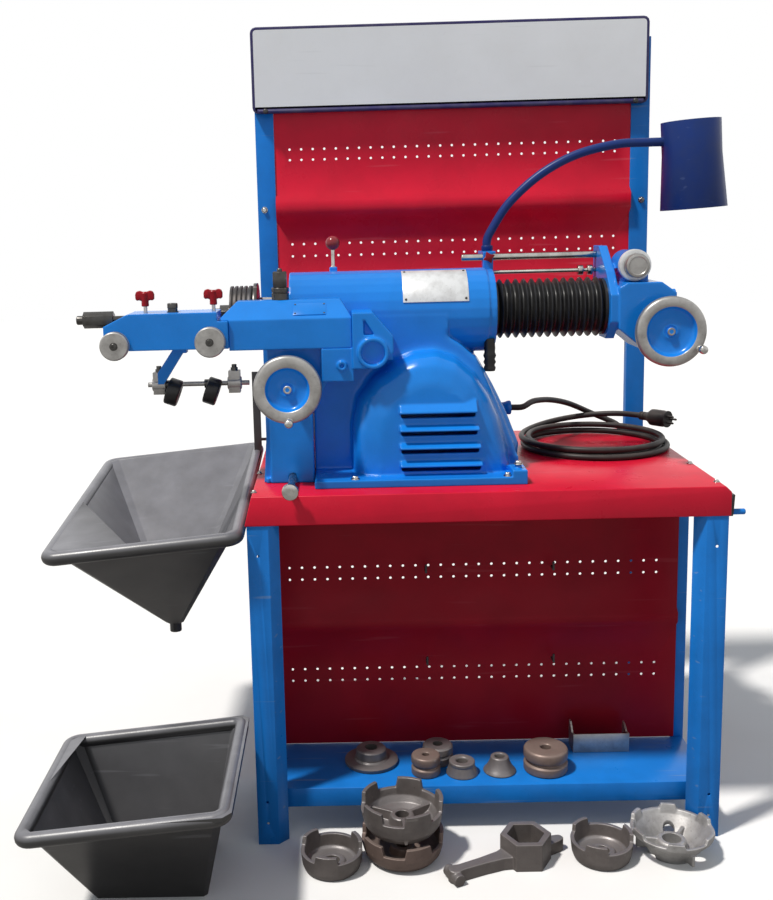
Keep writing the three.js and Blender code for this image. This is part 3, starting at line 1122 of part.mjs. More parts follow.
// Plug on the end of the coil, lying on the turns
const plugStart = coilLine[coilLine.length - 1].clone().addScaledVector(endDirection, gap);
const plugProfile = [
  [0, 0], [0, plug.neck], [plug.neckLength, plug.neck], [plug.neckLength + plug.neck / 2, plug.radius],
  [plug.neckLength + plug.length, plug.radius], [plug.neckLength + plug.length, 0],
];
const plugGeometry = new THREE.LatheGeometry(plugProfile.map(([along, radius]) => new THREE.Vector2(radius, along)), someSides);
const plugPins = [0, 120, 240].map((degrees) => {
  const angle = THREE.MathUtils.degToRad(degrees);
  const pin = new THREE.CylinderGeometry(plug.pinRadius, plug.pinRadius, plug.pinLength + overrun, fewSides);
  pin.translate(plug.pinSpread * Math.cos(angle), plug.neckLength + plug.length + plug.pinLength / 2 - overrun / 2,
    plug.pinSpread * Math.sin(angle));
  return pin;
});
const plugTurn = new THREE.Quaternion().setFromUnitVectors(new THREE.Vector3(0, 1, 0), endDirection);
const plugPlace = new THREE.Matrix4().compose(plugStart, plugTurn, new THREE.Vector3(1, 1, 1));
add('cord_plug', join(...[plugGeometry, ...plugPins].map((g) => solid(g.applyMatrix4(plugPlace)))), black, true);

// Chip bins

// Corner-cut rectangle whose height rises across and along it
function binRing(x, y, z, width, depth, riseX, riseY, cut) {
  const [hx, hy] = [width / 2, depth / 2];
  const plan = [
    [-hx + cut, -hy], [hx - cut, -hy], [hx, -hy + cut], [hx, hy - cut],
    [hx - cut, hy], [-hx + cut, hy], [-hx, hy - cut], [-hx, -hy + cut],
  ];
  return plan.map(([a, b]) => [x + a, y + b, z + (riseX * a) / width + (riseY * b) / depth]);
}

function binPiece(bin, x, lower) {
  const cut = bin.lip;
  const ring = (extra, rise) => binRing(x, bin.y, bin.z + rise, bin.width + 2 * extra, bin.depth + 2 * extra,
    bin.riseX, bin.riseY, cut);
  const foot = (inset, rise) => binRing(x + lower.x, bin.y + lower.y, lower.z + rise, lower.width - 2 * inset,
    lower.depth - 2 * inset, 0, 0, cut / 2);
  const shell = solid(rings([foot(0, 0), ring(0, 0)])).add(solid(rings([ring(bin.lip, -bin.lipDrop), ring(bin.lip, 0)])));
  return shell.subtract(solid(rings([foot(bin.wall, bin.wall), ring(-bin.wall, overrun)])));
}

const hangX = -benchEnd - gap - hangBin.lip - hangBin.width / 2;
const hangZ = top - hangBin.drop;
const hangY = bench.depth - hangBin.setback;
const strapBack = bench.depth - strap.setback;
let hanging = binPiece({ ...hangBin, y: hangY, z: hangZ }, hangX, { ...hangBase, z: hangZ + hangBase.z });
const drainX = hangX + hangBase.x;
const drainY = hangY + hangBase.y;
const drainZ = hangZ + hangBase.z;
hanging = hanging.add(bar('z', drain.radius, drainZ - drain.length, drainZ + overrun, drainX, drainY, someSides));
hanging = hanging.subtract(bar('z', drain.radius - hangBin.wall, drainZ - drain.length - overrun,
  drainZ + hangBin.wall + overrun, drainX, drainY, someSides));
const rimRight = hangX + hangBin.width / 2 + hangBin.lip;
const strapZ = hangZ + hangBin.riseX / 2 + (hangBin.riseY * (strapBack - hangY)) / hangBin.depth - hangBin.lipDrop;
const strapTop = hangZ + strap.rise;
hanging = hanging.add(block(rimRight - strap.width, rimRight - gap, strapBack, strapBack + strap.thick, strapZ, strapTop));
hanging = hanging.add(block(rimRight - strap.width, rimRight + strap.hook, strapBack, strapBack + strap.thick,
  top + strap.thick, top + strap.thick * 3));
add('hanging_bin', hanging, black);

const floorX = -benchEnd - floorBin.clear - floorBin.lip - floorBin.width / 2;
add('floor_bin', binPiece(floorBin, floorX, { ...floorBase, z: 0 }), black);

// Loose adapters

// Cup with a hub and bore in its floor, and tabs standing round its rim
const footShare = 0.94;
function cupPiece(one, z0) {
  const inside = one.radius - one.wall;
  let piece = turned('z', [
    [z0, one.bore], [z0, one.radius * footShare], [z0 + one.floor, one.radius], [z0 + one.height, one.radius],
    [z0 + one.height, inside], [z0 + one.floor, inside], [z0 + one.floor, one.hub],
    [z0 + one.floor * 2, one.hub], [z0 + one.floor * 2, one.bore], [z0, one.bore],
  ], one.x, one.y, cupSides);
  const wide = (Math.PI * one.radius) / one.tabs / 2;
  const ring = turned('z', [
    [z0 + one.height - overrun, inside], [z0 + one.height - overrun, one.radius],
    [z0 + one.height + one.tab, one.radius - overrun], [z0 + one.height + one.tab, inside],
    [z0 + one.height - overrun, inside],
  ], one.x, one.y, cupSides);
  for (let i = 0; i < one.tabs; i += 1) {
    const wedge = block(one.x, one.x + one.radius * 2, one.y - wide, one.y + wide, z0, z0 + one.height + one.tab + overrun);
    piece = piece.add(ring.intersect(spun(wedge, (360 * (i + 1 / 2)) / one.tabs, one.x, one.y, 0)));
  }
  return piece;
}

add('left_cup', cupPiece(leftCup, 0), castIron);
add('right_cup', cupPiece(rightCup, 0), castIron);
const bellPitch = bell.height + bell.tab;
add('lower_bell', cupPiece(bell, 0), castIron);
add('upper_bell', cupPiece(bell, bellPitch + gap), castIron);

// Light alloy bell: a cone with a ring of lightening holes in its face
let alloyPiece = turned('z', [
  [0, alloy.bore], [0, alloy.foot], [alloy.height - alloy.floor * 2, alloy.radius - alloy.wall],
  [alloy.height - alloy.floor, alloy.radius], [alloy.height, alloy.radius], [alloy.height, alloy.radius - alloy.wall],
  [alloy.height - alloy.floor, alloy.radius - alloy.wall * 2], [alloy.height / 2, alloy.radius * alloyRing.holeShare + alloy.hole],
  [alloy.height / 2 - alloy.floor, alloy.hub + alloy.hole], [alloy.height / 2, alloy.hub], [alloy.height - alloy.floor, alloy.hub],
  [alloy.height - alloy.floor, alloy.bore], [0, alloy.bore],
], alloy.x, alloy.y, cupSides);
for (let i = 0; i < alloy.holes; i += 1) {
  const angle = (2 * Math.PI * (i + 1 / 2)) / alloy.holes;
  const reach = alloy.radius * alloyRing.holeShare;
  alloyPiece = alloyPiece.subtract(bar('z', alloy.hole, -overrun, alloy.height, alloy.x + reach * Math.cos(angle),
    alloy.y + reach * Math.sin(angle), fewSides));
}
for (let i = 0; i < alloyRing.tabs; i += 1) {
  const slotWide = alloyRing.tab;
  const slot = block(alloy.x + alloy.radius - alloy.wall * 3, alloy.x + alloy.radius + overrun, alloy.y - slotWide,
    alloy.y + slotWide, alloy.height - alloyRing.tab, alloy.height + overrun);
  alloyPiece = alloyPiece.subtract(spun(slot, (360 * i) / alloyRing.tabs, alloy.x, alloy.y, 0));
}
add('alloy_bell', alloyPiece, aluminium);

// Hexagonal wrench: a socket with two flat arms
const wrenchArm = block(wrench.x - wrench.left, wrench.x + wrench.right, wrench.y - wrench.arm / 2,
  wrench.y + wrench.arm / 2, 0, wrench.armHeight);
let wrenchPiece = bar('z', wrench.hex, 0, wrench.height, wrench.x, wrench.y, 6).add(wrenchArm);
wrenchPiece = wrenchPiece.subtract(bar('z', wrench.hexBore, -overrun, wrench.height + overrun, wrench.x, wrench.y, 6));
add('hex_wrench', spun(wrenchPiece, wrench.degrees, wrench.x, wrench.y, 0), castIron);

// Small adapters on the shelf
const shelfZ = shelf.height + gap;

// Two discs of one size, parted by a groove
function doubleDisc(one) {
  const middle = shelfZ + one.height / 2;
  return turned('z', [
    [shelfZ, one.bore], [shelfZ, one.radius - one.groove], [shelfZ + one.groove, one.radius],
    [middle - one.groove, one.radius], [middle, one.radius - one.groove * 2], [middle + one.groove, one.radius],
    [shelfZ + one.height - one.groove, one.radius], [shelfZ + one.height, one.radius - one.groove],
    [shelfZ + one.height, one.bore], [shelfZ, one.bore],
  ], one.x, one.y, cupSides);
}

function taper(one) {
  return turned('z', [
    [shelfZ, one.bore], [shelfZ, one.radius], [shelfZ + one.height, one.top], [shelfZ + one.height, one.bore],
    [shelfZ, one.bore],
  ], one.x, one.y, cupSides);
}

add('double_adapter', doubleDisc(stack), castIron);
add('short_cone', taper(cylinder), castIron);
add('tall_cone', taper(cone), castIron);
add('grooved_adapter', doubleDisc(grooved), castIron);

// Place of the whole part

// The origin is on the floor, under the middle of all that is not on the cord
model.updateMatrixWorld(true);
const whole = new THREE.Box3();
for (const mesh of model.children) {
  if (!cordNodes.includes(mesh.name)) whole.union(new THREE.Box3().setFromObject(mesh, true));
}
const middle = whole.getCenter(new THREE.Vector3());
model.position.set(-middle.x, -middle.y, -whole.min.z);

const part = new THREE.Group();
part.add(model);

export default part;
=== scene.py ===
# %% [markdown]
# # A brake lathe on its bench
# This lesson dresses a packed machine for a render. The machine's own solids are the frame: they
# say where everything is and how it moves. We keep their places, and give each one the rounded
# edges, castings, paint, rubber and wear of the real thing, step by step.

import json
import math

import bmesh
import bpy
from mathutils import Matrix, Vector


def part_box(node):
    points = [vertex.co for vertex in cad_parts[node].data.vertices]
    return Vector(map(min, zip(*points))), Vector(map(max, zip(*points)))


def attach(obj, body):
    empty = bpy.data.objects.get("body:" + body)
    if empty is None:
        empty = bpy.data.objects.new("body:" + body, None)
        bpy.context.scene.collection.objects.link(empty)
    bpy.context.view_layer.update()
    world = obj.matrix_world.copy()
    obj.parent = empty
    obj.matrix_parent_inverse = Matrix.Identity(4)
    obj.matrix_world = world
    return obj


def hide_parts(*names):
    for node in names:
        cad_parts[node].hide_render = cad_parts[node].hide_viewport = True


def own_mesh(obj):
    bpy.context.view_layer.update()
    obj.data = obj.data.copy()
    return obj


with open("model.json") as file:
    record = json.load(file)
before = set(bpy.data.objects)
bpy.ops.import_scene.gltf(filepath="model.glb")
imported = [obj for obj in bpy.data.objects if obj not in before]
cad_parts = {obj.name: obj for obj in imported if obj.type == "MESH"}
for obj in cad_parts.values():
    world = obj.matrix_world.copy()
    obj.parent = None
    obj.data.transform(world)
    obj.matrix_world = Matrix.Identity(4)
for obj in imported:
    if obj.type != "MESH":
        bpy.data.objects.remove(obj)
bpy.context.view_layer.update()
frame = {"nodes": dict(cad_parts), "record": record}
nodes = frame["nodes"]
bodies = frame["record"]["behaviour"]["bodies"]
body_of_node = {node: body for body, members in bodies.items() for node in members}

# %% [markdown]
# ## Where things are
# The machine was measured in millimetres from the bench: x from the bench's middle, y back from its
# front, z up from the floor. Blender works in metres. The bench top's own box tells us where that
# zero is, so every later place can be written as it was measured.

# %% Places in millimetres
MM = 0.001
BENCH_TOP = 870
SPINDLE_Y = 300
SPINDLE_Z = 1264

bench_low, bench_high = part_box("bench_top")
bench_zero = Vector(((bench_low[0] + bench_high[0]) / 2, bench_low[1], 0))


def at(x, y, z):
    """The place x right of the bench's middle, y behind its front and z above the floor, in metres."""
    return bench_zero + Vector((x, y, z)) * MM


print("bench zero:", [round(v, 4) for v in bench_zero])

# %% [markdown]
# ## The camera
# The photograph was taken from a little left of the middle and above the spindle, looking slightly
# down, with the camera rolled a degree and a half. We build the camera's axes from those angles.
# The lens is in millimetres on a 36 mm frame, and a small shift moves the picture's centre off the
# lens's own axis, as the photograph's crop does.

# %% Camera
YAW, PITCH, ROLL = (math.radians(angle) for angle in (-0.9554, 9.4705, 1.5581))
forward = Vector((math.sin(YAW) * math.cos(PITCH), math.cos(YAW) * math.cos(PITCH), -math.sin(PITCH)))
level_right = Vector((math.cos(YAW), -math.sin(YAW), 0))
level_down = forward.cross(level_right)
right = math.cos(ROLL) * level_right + math.sin(ROLL) * level_down
down = -math.sin(ROLL) * level_right + math.cos(ROLL) * level_down

camera_data = bpy.data.cameras.new("photographer")
camera_data.sensor_width = 36
camera_data.lens = 43.867
camera_data.shift_x = 0.0697
camera_data.shift_y = -0.0522
camera_data.clip_end = 60
camera = bpy.data.objects.new("photographer", camera_data)
bpy.context.scene.collection.objects.link(camera)
camera.matrix_world = Matrix(
    (
        (right.x, -down.x, -forward.x, 0),
        (right.y, -down.y, -forward.y, 0),
        (right.z, -down.z, -forward.z, 0),
        (0, 0, 0, 1),
    )
)
camera.location = at(-327.7, -2449.5, 1494.5)
bpy.context.scene.camera = camera
print("camera at", [round(v, 3) for v in camera.location])

# %% [markdown]
# ## Choosing what an operator acts on
# A Blender operator acts on whatever is selected, so each step starts by clearing the selection and
# taking one piece. Inside a piece, faces, edges and vertices are chosen by a test of their place or
# the way they face.


# %% Taking a piece and choosing in it
def clear_selection():
    if bpy.context.mode != "OBJECT":
        bpy.ops.object.mode_set(mode="OBJECT")
    bpy.ops.object.select_all(action="DESELECT")


def take(piece):
    clear_selection()
    piece.select_set(True)
    bpy.context.view_layer.objects.active = piece


def newest(name):
    """The piece that an operator has just made, under its own name."""
    piece = bpy.context.active_object
    piece.name = piece.data.name = name
    return piece


def choose(piece, kind, test):
    """Goes into edit mode with only the faces, edges or vertices that pass the test selected."""
    take(piece)
    bpy.ops.object.mode_set(mode="EDIT")
    bpy.ops.mesh.select_mode(type=kind)
    bpy.ops.mesh.select_all(action="DESELECT")
    mesh = bmesh.from_edit_mesh(piece.data)
    mesh.normal_update()
    for item in {"FACE": mesh.faces, "EDGE": mesh.edges, "VERT": mesh.verts}[kind]:
        if test(item):
            item.select_set(True)
    mesh.select_flush_mode()
    bmesh.update_edit_mesh(piece.data)


def out_of_edit():
    bpy.ops.object.mode_set(mode="OBJECT")


# %% [markdown]
# ## Finishing a piece
# `finish` is the last step of every piece: it puts the piece's place into its mesh, gives it its
# finish, and lets it ride on the body that it moves with. A piece may have several finishes,
# each on the faces that carry its number.


# %% Modifiers, joining and finishing
def settle(piece):
    """Puts a piece's place, turn and size into its mesh, so that the object itself is at the origin."""
    take(piece)
    bpy.ops.object.transform_apply(location=True, rotation=True, scale=True)


def apply_modifier(piece, kind, **settings):
    take(piece)
    modifier = piece.modifiers.new(kind.lower(), kind)
    for key, value in settings.items():
        setattr(modifier, key, value)
    bpy.ops.object.modifier_apply(modifier=modifier.name)


def round_edges(piece, width, segments=2, angle=35):
    """Bevels, by a width in mm, every edge that bends by more than the angle."""
    apply_modifier(
        piece, "BEVEL", width=width * MM, segments=segments, limit_method="ANGLE",
        angle_limit=math.radians(angle), harden_normals=False,
    )


def join_pieces(name, pieces):
    clear_selection()
    for piece in pieces:
        piece.select_set(True)
    bpy.context.view_layer.objects.active = pieces[0]
    bpy.ops.object.join()
    return newest(name)


def finish(piece, body, finishes, smooth=35, stands_for=()):
    """Settles a piece, gives it its finish or finishes, and lets it ride on a body."""
    settle(piece)
    bpy.ops.object.shade_smooth_by_angle(angle=math.radians(smooth))
    if not isinstance(finishes, (list, tuple)):
        finishes = [finishes]
    numbers = [face.material_index for face in piece.data.polygons]
    piece.data.materials.clear()
    for one in finishes:
        piece.data.materials.append(one)
    for face, number in zip(piece.data.polygons, numbers):
        face.material_index = min(number, len(finishes) - 1)
    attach(piece, body)
    if stands_for:
        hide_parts(*stands_for)
    print(piece.name, "on", body + ":", len(piece.data.polygons), "faces")


# %% [markdown]
# ## Shared effects
# Grain, grime, dust and scratches turn up in many finishes, so each is a node group with named
# inputs. A group gives out a value that changes over the surface, and the material decides what it
# drives. First come the few nodes that the groups and materials are built from.


# %% Small steps in a node tree
def feed(tree, socket, value):
    """Gives an input a number or a colour of its own, or links it to another node's output."""
    if isinstance(value, bpy.types.NodeSocket):
        tree.links.new(value, socket)
    elif isinstance(value, (list, tuple)):
        socket.default_value = (*value, 1)
    else:
        socket.default_value = value


def math_node(tree, operation, a, b, clamp=False):
    node = tree.nodes.new("ShaderNodeMath")
    node.operation = operation
    node.use_clamp = clamp
    feed(tree, node.inputs[0], a)
    feed(tree, node.inputs[1], b)
    return node.outputs[0]


def noise(tree, scale, detail, rough=0.5, vector=None):
    """Cloudy noise on the object's own coordinates, or on a vector."""
    node = tree.nodes.new("ShaderNodeTexNoise")
    node.inputs["Detail"].default_value = detail
    node.inputs["Roughness"].default_value = rough
    feed(tree, node.inputs["Scale"], scale)
    if vector is None:
        vector = tree.nodes.new("ShaderNodeTexCoord").outputs["Object"]
    tree.links.new(vector, node.inputs["Vector"])
    return node.outputs["Fac"]


def ramp(tree, value, low, high):
    """0 where a value is low, 1 where it is high, and a straight line between."""
    node = tree.nodes.new("ShaderNodeMapRange")
    node.inputs["From Min"].default_value = low
    node.inputs["From Max"].default_value = high
    node.clamp = True
    tree.links.new(value, node.inputs["Value"])
    return node.outputs["Result"]


def new_group(name, inputs, output):
    """A node group with number inputs and one number output."""
    group = bpy.data.node_groups.new(name, "ShaderNodeTree")
    for label, value in inputs.items():
        socket = group.interface.new_socket(name=label, in_out="INPUT", socket_type="NodeSocketFloat")
        socket.default_value = value
    group.interface.new_socket(name=output, in_out="OUTPUT", socket_type="NodeSocketFloat")
    return group, group.nodes.new("NodeGroupInput").outputs, group.nodes.new("NodeGroupOutput").inputs


# %% [markdown]
# Grain is a fine noise that a material uses as its bump. Grime is a mask of broad blots with small
# specks between them. Both take their scale and strength from the material that uses them.

# %% Grain and grime
grain_group, asked, given = new_group("fine_grain", {"Scale": 400.0, "Depth": 0.5}, "Height")
grain = noise(grain_group, asked["Scale"], detail=2.0)
grain_group.links.new(math_node(grain_group, "MULTIPLY", grain, asked["Depth"]), given["Height"])

grime_group, asked, given = new_group("grime", {"Scale": 9.0, "Amount": 0.4}, "Mask")
blots = ramp(grime_group, noise(grime_group, asked["Scale"], detail=6.0, rough=0.62), 0.42, 0.72)
specks = ramp(grime_group, noise(grime_group, 160.0, detail=2.0), 0.66, 0.74)
half_specks = math_node(grime_group, "MULTIPLY", specks, 0.5)
both = math_node(grime_group, "ADD", blots, half_specks, clamp=True)
grime_group.links.new(math_node(grime_group, "MULTIPLY", both, asked["Amount"]), given["Mask"])

# %% [markdown]
# Dust settles on what faces up, in soft patches. Scratches are a noise that is drawn out a long way
# in one slanting direction, of which only the highest ridges show.

# %% Dust and scratches
dust_group, asked, given = new_group("dust", {"Scale": 30.0, "Amount": 0.3}, "Mask")
facing = dust_group.nodes.new("ShaderNodeSeparateXYZ")
dust_group.links.new(dust_group.nodes.new("ShaderNodeNewGeometry").outputs["Normal"], facing.inputs[0])
settled = ramp(dust_group, facing.outputs["Z"], 0.15, 0.95)
patches = ramp(dust_group, noise(dust_group, asked["Scale"], detail=5.0), -0.5, 0.8)
patched = math_node(dust_group, "MULTIPLY", settled, patches)
dusty = math_node(dust_group, "MULTIPLY", patched, asked["Amount"], clamp=True)
dust_group.links.new(dusty, given["Mask"])

scratch_group, asked, given = new_group("scratches", {"Scale": 60.0, "Amount": 0.5}, "Mask")
stretch = scratch_group.nodes.new("ShaderNodeMapping")
stretch.inputs["Rotation"].default_value = (0.5, 0.3, 0.7)
stretch.inputs["Scale"].default_value = (0.06, 1.0, 1.0)
own_place = scratch_group.nodes.new("ShaderNodeTexCoord").outputs["Object"]
scratch_group.links.new(own_place, stretch.inputs["Vector"])
streaks = noise(scratch_group, asked["Scale"], detail=1.0, vector=stretch.outputs[0])
lines = ramp(scratch_group, streaks, 0.70, 0.76)
scratch_group.links.new(math_node(scratch_group, "MULTIPLY", lines, asked["Amount"]), given["Mask"])
print("effects:", [group.name for group in bpy.data.node_groups])

# %% [markdown]
# ## A recipe for finishes
# Paint on castings, bare steel, rubber and moulded plastic differ in colour, shine and grain, but are
# built alike: a colour that grime darkens, a roughness that varies a little, and a bump made of the
# grain. Each finish below is this recipe with the numbers of its own material.


# %% Finish recipe
def use_group(tree, group, **values):
    node = tree.nodes.new("ShaderNodeGroup")
    node.node_tree = group
    for label, value in values.items():
        node.inputs[label].default_value = value
    return node.outputs[0]


def blend_colour(tree, mask, plain, marked):
    """The plain colour where the mask is 0, and the marked one where it is 1."""
    node = tree.nodes.new("ShaderNodeMix")
    node.data_type = "RGBA"
    tree.links.new(mask, node.inputs["Factor"])
    feed(tree, node.inputs["A"], plain)
    feed(tree, node.inputs["B"], marked)
    return node.outputs["Result"]


def bumpy(tree, shader, height, strength, distance=None):
    bumps = tree.nodes.new("ShaderNodeBump")
    bumps.inputs["Strength"].default_value = strength
    if distance:
        bumps.inputs["Distance"].default_value = distance
    tree.links.new(height, bumps.inputs["Height"])
    tree.links.new(bumps.outputs["Normal"], shader.inputs["Normal"])


def finish_of(
    name, slot, colour, dirt, rough, metal=0.0, shine=0.25, coat=0.0, tone=0.12,
    grain_scale=350.0, grain_depth=0.4, bump=0.15, grime=0.35, grime_scale=9.0,
    scratch=0.0, scratch_colour=None, dust=0.0, dust_colour=None, dust_scale=12.0,
):
    material = bpy.data.materials.new(name)
    material.use_nodes = True
    tree = material.node_tree
    shader = tree.nodes["Principled BSDF"]
    lighter = [min(1.0, c * (1 + tone)) for c in colour]
    darker = [c * (1 - tone) for c in colour]
    clouds = ramp(tree, noise(tree, 3.0, detail=4.0), 0.3, 0.7)
    shade = blend_colour(tree, clouds, darker, lighter)
    dirty = use_group(tree, grime_group, Scale=grime_scale, Amount=grime)
    shade = blend_colour(tree, dirty, shade, dirt)
    if scratch:
        marks = use_group(tree, scratch_group, Scale=70.0, Amount=scratch)
        bare = scratch_colour or [min(1.0, c * 1.5 + 0.05) for c in colour]
        shade = blend_colour(tree, marks, shade, bare)
    if dust:
        settled_dust = use_group(tree, dust_group, Scale=dust_scale, Amount=dust)
        shade = blend_colour(tree, settled_dust, shade, dust_colour)
    tree.links.new(shade, shader.inputs["Base Color"])
    rough_spread = 0.12
    spread = ramp(tree, noise(tree, 14.0, detail=5.0), 0.25, 0.75)
    varied = math_node(tree, "MULTIPLY", spread, rough_spread)
    roughness = math_node(tree, "ADD", varied, rough - rough_spread / 2, clamp=True)
    tree.links.new(roughness, shader.inputs["Roughness"])
    shader.inputs["Metallic"].default_value = metal
    shader.inputs["Coat Weight"].default_value = coat
    shader.inputs["Coat Roughness"].default_value = 0.12
    shader.inputs["Specular IOR Level"].default_value = 0.5 if metal > 0.4 else shine
    grains = use_group(tree, grain_group, Scale=grain_scale, Depth=grain_depth)
    bumpy(tree, shader, grains, bump, 0.6 * MM)
    material["slot"] = slot
    return material


# %% [markdown]
# ## The paints
# The castings wear thick glossy blue enamel brushed over a sandy surface, so the grain is coarse and
# soft. The bench sheet is sprayed, so it is smoother. The lower board stands in the bench's shade, and
# its red is darkened to paint that shade in, with more grime on it. The lamp and the sign's frame are navy.

# %% Paints
blue_enamel = finish_of(
    "blue_enamel", "machine_blue", (0.009, 0.240, 0.800), (0.004, 0.068, 0.25), 0.22, coat=0.10, tone=0.08,
    grain_scale=170, grain_depth=0.9, bump=0.30, grime=0.20, grime_scale=7,
)
blue_sheet = finish_of(
    "blue_sheet", "machine_blue", (0.010, 0.205, 0.680), (0.004, 0.060, 0.22), 0.32,
    grain_scale=420, bump=0.10, grime=0.25, scratch=0.30, scratch_colour=(0.30, 0.38, 0.46),
)
navy_enamel = finish_of(
    "navy_enamel", "lamp_navy", (0.006, 0.030, 0.170), (0.03, 0.045, 0.10), 0.36,
    grain_scale=300, bump=0.10, grime=0.30, grime_scale=16, scratch=0.30, scratch_colour=(0.10, 0.15, 0.32),
)
navy_band = finish_of(
    "navy_band", "lamp_navy", (0.030, 0.025, 0.110), (0.16, 0.15, 0.18), 0.42,
    grain_scale=500, bump=0.05, grime_scale=25,
)
red_sheet = finish_of(
    "red_sheet", "bench_red", (0.690, 0.010, 0.038), (0.30, 0.008, 0.02), 0.30, shine=0.2,
    grain_scale=380, bump=0.10, grime=0.22, scratch=0.12, scratch_colour=(0.8, 0.25, 0.30),
)
# Painted shade: a darker red that stands for the shade under the bench top, for the lower board.
red_sheet_painted_shade = finish_of(
    "red_sheet_painted_shade", "bench_red", (0.330, 0.007, 0.020), (0.12, 0.006, 0.012), 0.34, shine=0.12,
    grain_scale=380, bump=0.10, grime=0.4, grime_scale=4, scratch=0.12, scratch_colour=(0.5, 0.12, 0.14),
)
red_cast = finish_of(
    "red_cast", "bench_red", (0.36, 0.004, 0.012), (0.06, 0.004, 0.006), 0.35,
    grain_scale=260, bump=0.2, grime=0.6, grime_scale=60,
)
ball_lacquer = finish_of(
    "ball_lacquer", "ball_red", (0.30, 0.022, 0.032), (0.16, 0.02, 0.02), 0.24, coat=0.3,
    grain_scale=300, bump=0.05, grime=0.3, grime_scale=40,
)
sign_paint = finish_of(
    "sign_paint", "sign_white", (0.92, 0.93, 0.95), (0.58, 0.57, 0.54), 0.42, tone=0.02,
    grain_scale=500, bump=0.05, grime=0.12, grime_scale=5, scratch=0.10, scratch_colour=(0.5, 0.5, 0.5),
)

# %% [markdown]
# ## Plastic, rubber and glass
# The bins are a matt moulded plastic that has gone grey with dust. The dust on what faces up is heavy
# and pale, which also paints in the light that falls into the bins. The cord's rubber is duller than
# that of the bellows and pads.

# %% Plastic, rubber and glass
# Dust and painted highlight: the heavy pale dust on up-facing faces also stands for the light on the bins'
# insides.
bin_plastic = finish_of(
    "bin_plastic", "bin_black", (0.026, 0.025, 0.026), (0.055, 0.053, 0.05), 0.33, shine=0.6, tone=0.25,
    grain_scale=520, grain_depth=0.8, bump=0.30, grime_scale=6,
    scratch=0.45, scratch_colour=(0.12, 0.12, 0.13), dust=0.62, dust_colour=(0.36, 0.36, 0.40), dust_scale=16,
)
soft_rubber = finish_of(
    "soft_rubber", "black_rubber", (0.009, 0.009, 0.010), (0.04, 0.038, 0.035), 0.34, shine=0.35, tone=0.2,
    grain_scale=600, grime=0.3, grime_scale=20, dust=0.15, dust_colour=(0.12, 0.12, 0.12),
)
cord_rubber = finish_of(
    "cord_rubber", "black_rubber", (0.016, 0.014, 0.014), (0.06, 0.05, 0.045), 0.45,
    grain_scale=900, bump=0.2, grime=0.4, grime_scale=25,
    dust=0.5, dust_colour=(0.15, 0.13, 0.12), dust_scale=25,
)
frosted_glass = finish_of(
    "frosted_glass", "lamp_glass", (0.78, 0.76, 0.70), (0.6, 0.57, 0.5), 0.30,
    grain_scale=900, bump=0.05, grime=0.2,
)

# %% [markdown]
# ## Metals
# Rims and dials are dull cast aluminium, rods and knobs ground steel, and the nuts dark oily steel.
# The adapters are iron castings, dark with oil or browned by rust.

# %% Metals
bright_steel = finish_of(
    "bright_steel", "bright_steel", (0.50, 0.49, 0.47), (0.12, 0.10, 0.08), 0.24, metal=1.0,
    grain_scale=900, bump=0.06, grime=0.45, grime_scale=40, scratch=0.3,
)
dark_steel = finish_of(
    "dark_steel", "dark_steel", (0.085, 0.083, 0.080), (0.03, 0.025, 0.02), 0.28, metal=0.9,
    grain_scale=500, grime=0.5, grime_scale=45, scratch=0.5, scratch_colour=(0.45, 0.43, 0.40),
)
black_bolt = finish_of(
    "black_bolt", "dark_steel", (0.05, 0.05, 0.055), (0.12, 0.09, 0.06), 0.42, metal=0.7,
    grain_scale=500, bump=0.1,
)
dull_aluminium = finish_of(
    "dull_aluminium", "dull_aluminium", (0.40, 0.39, 0.375), (0.13, 0.12, 0.11), 0.38, metal=0.75, tone=0.18,
    grain_scale=420, grain_depth=0.8, bump=0.25, grime=0.55, grime_scale=26,
    scratch=0.35, scratch_colour=(0.62, 0.61, 0.60),
)
light_alloy = finish_of(
    "light_alloy", "dull_aluminium", (0.44, 0.43, 0.425), (0.12, 0.11, 0.10), 0.50, metal=0.5, tone=0.2,
    grain_scale=200, grain_depth=1.0, bump=0.5, grime=0.6, grime_scale=22,
)
dark_iron = finish_of(
    "dark_iron", "dark_iron", (0.165, 0.145, 0.138), (0.050, 0.040, 0.036), 0.40, metal=0.35, shine=0.5,
    tone=0.25, grain_scale=230, grain_depth=1.0, bump=0.5, grime=0.5, grime_scale=14,
    scratch=0.3, scratch_colour=(0.36, 0.33, 0.31),
    dust=0.45, dust_colour=(0.33, 0.325, 0.345), dust_scale=24,
)
rusty_iron = finish_of(
    "rusty_iron", "dark_iron", (0.200, 0.145, 0.125), (0.070, 0.045, 0.036), 0.46, metal=0.3,
    tone=0.25, grain_scale=230, grain_depth=1.0, bump=0.5, grime=0.5, grime_scale=14,
    scratch=0.3, scratch_colour=(0.40, 0.34, 0.30),
    dust=0.4, dust_colour=(0.38, 0.31, 0.28), dust_scale=24,
)
plate_metal = finish_of(
    "plate_metal", "plate_metal", (0.80, 0.81, 0.82), (0.34, 0.33, 0.32), 0.34, metal=0.3, tone=0.06,
    grain_scale=700, bump=0.06, grime=0.45, grime_scale=34,
)
print("finishes:", len(bpy.data.materials))

# %% [markdown]
# ## Turned shapes
# Most small parts of the machine were made on a lathe, and we make them as one would be drawn: a
# circle is extruded along its axis and resized ring by ring. The profile lists the rings. It is
# built standing up at the origin, and then laid along the axis that the real part has.

# %% Turning a profile
TO_AXIS = {"X": (0, math.pi / 2, 0), "Y": (-math.pi / 2, 0, 0), "Z": (0, 0, 0)}


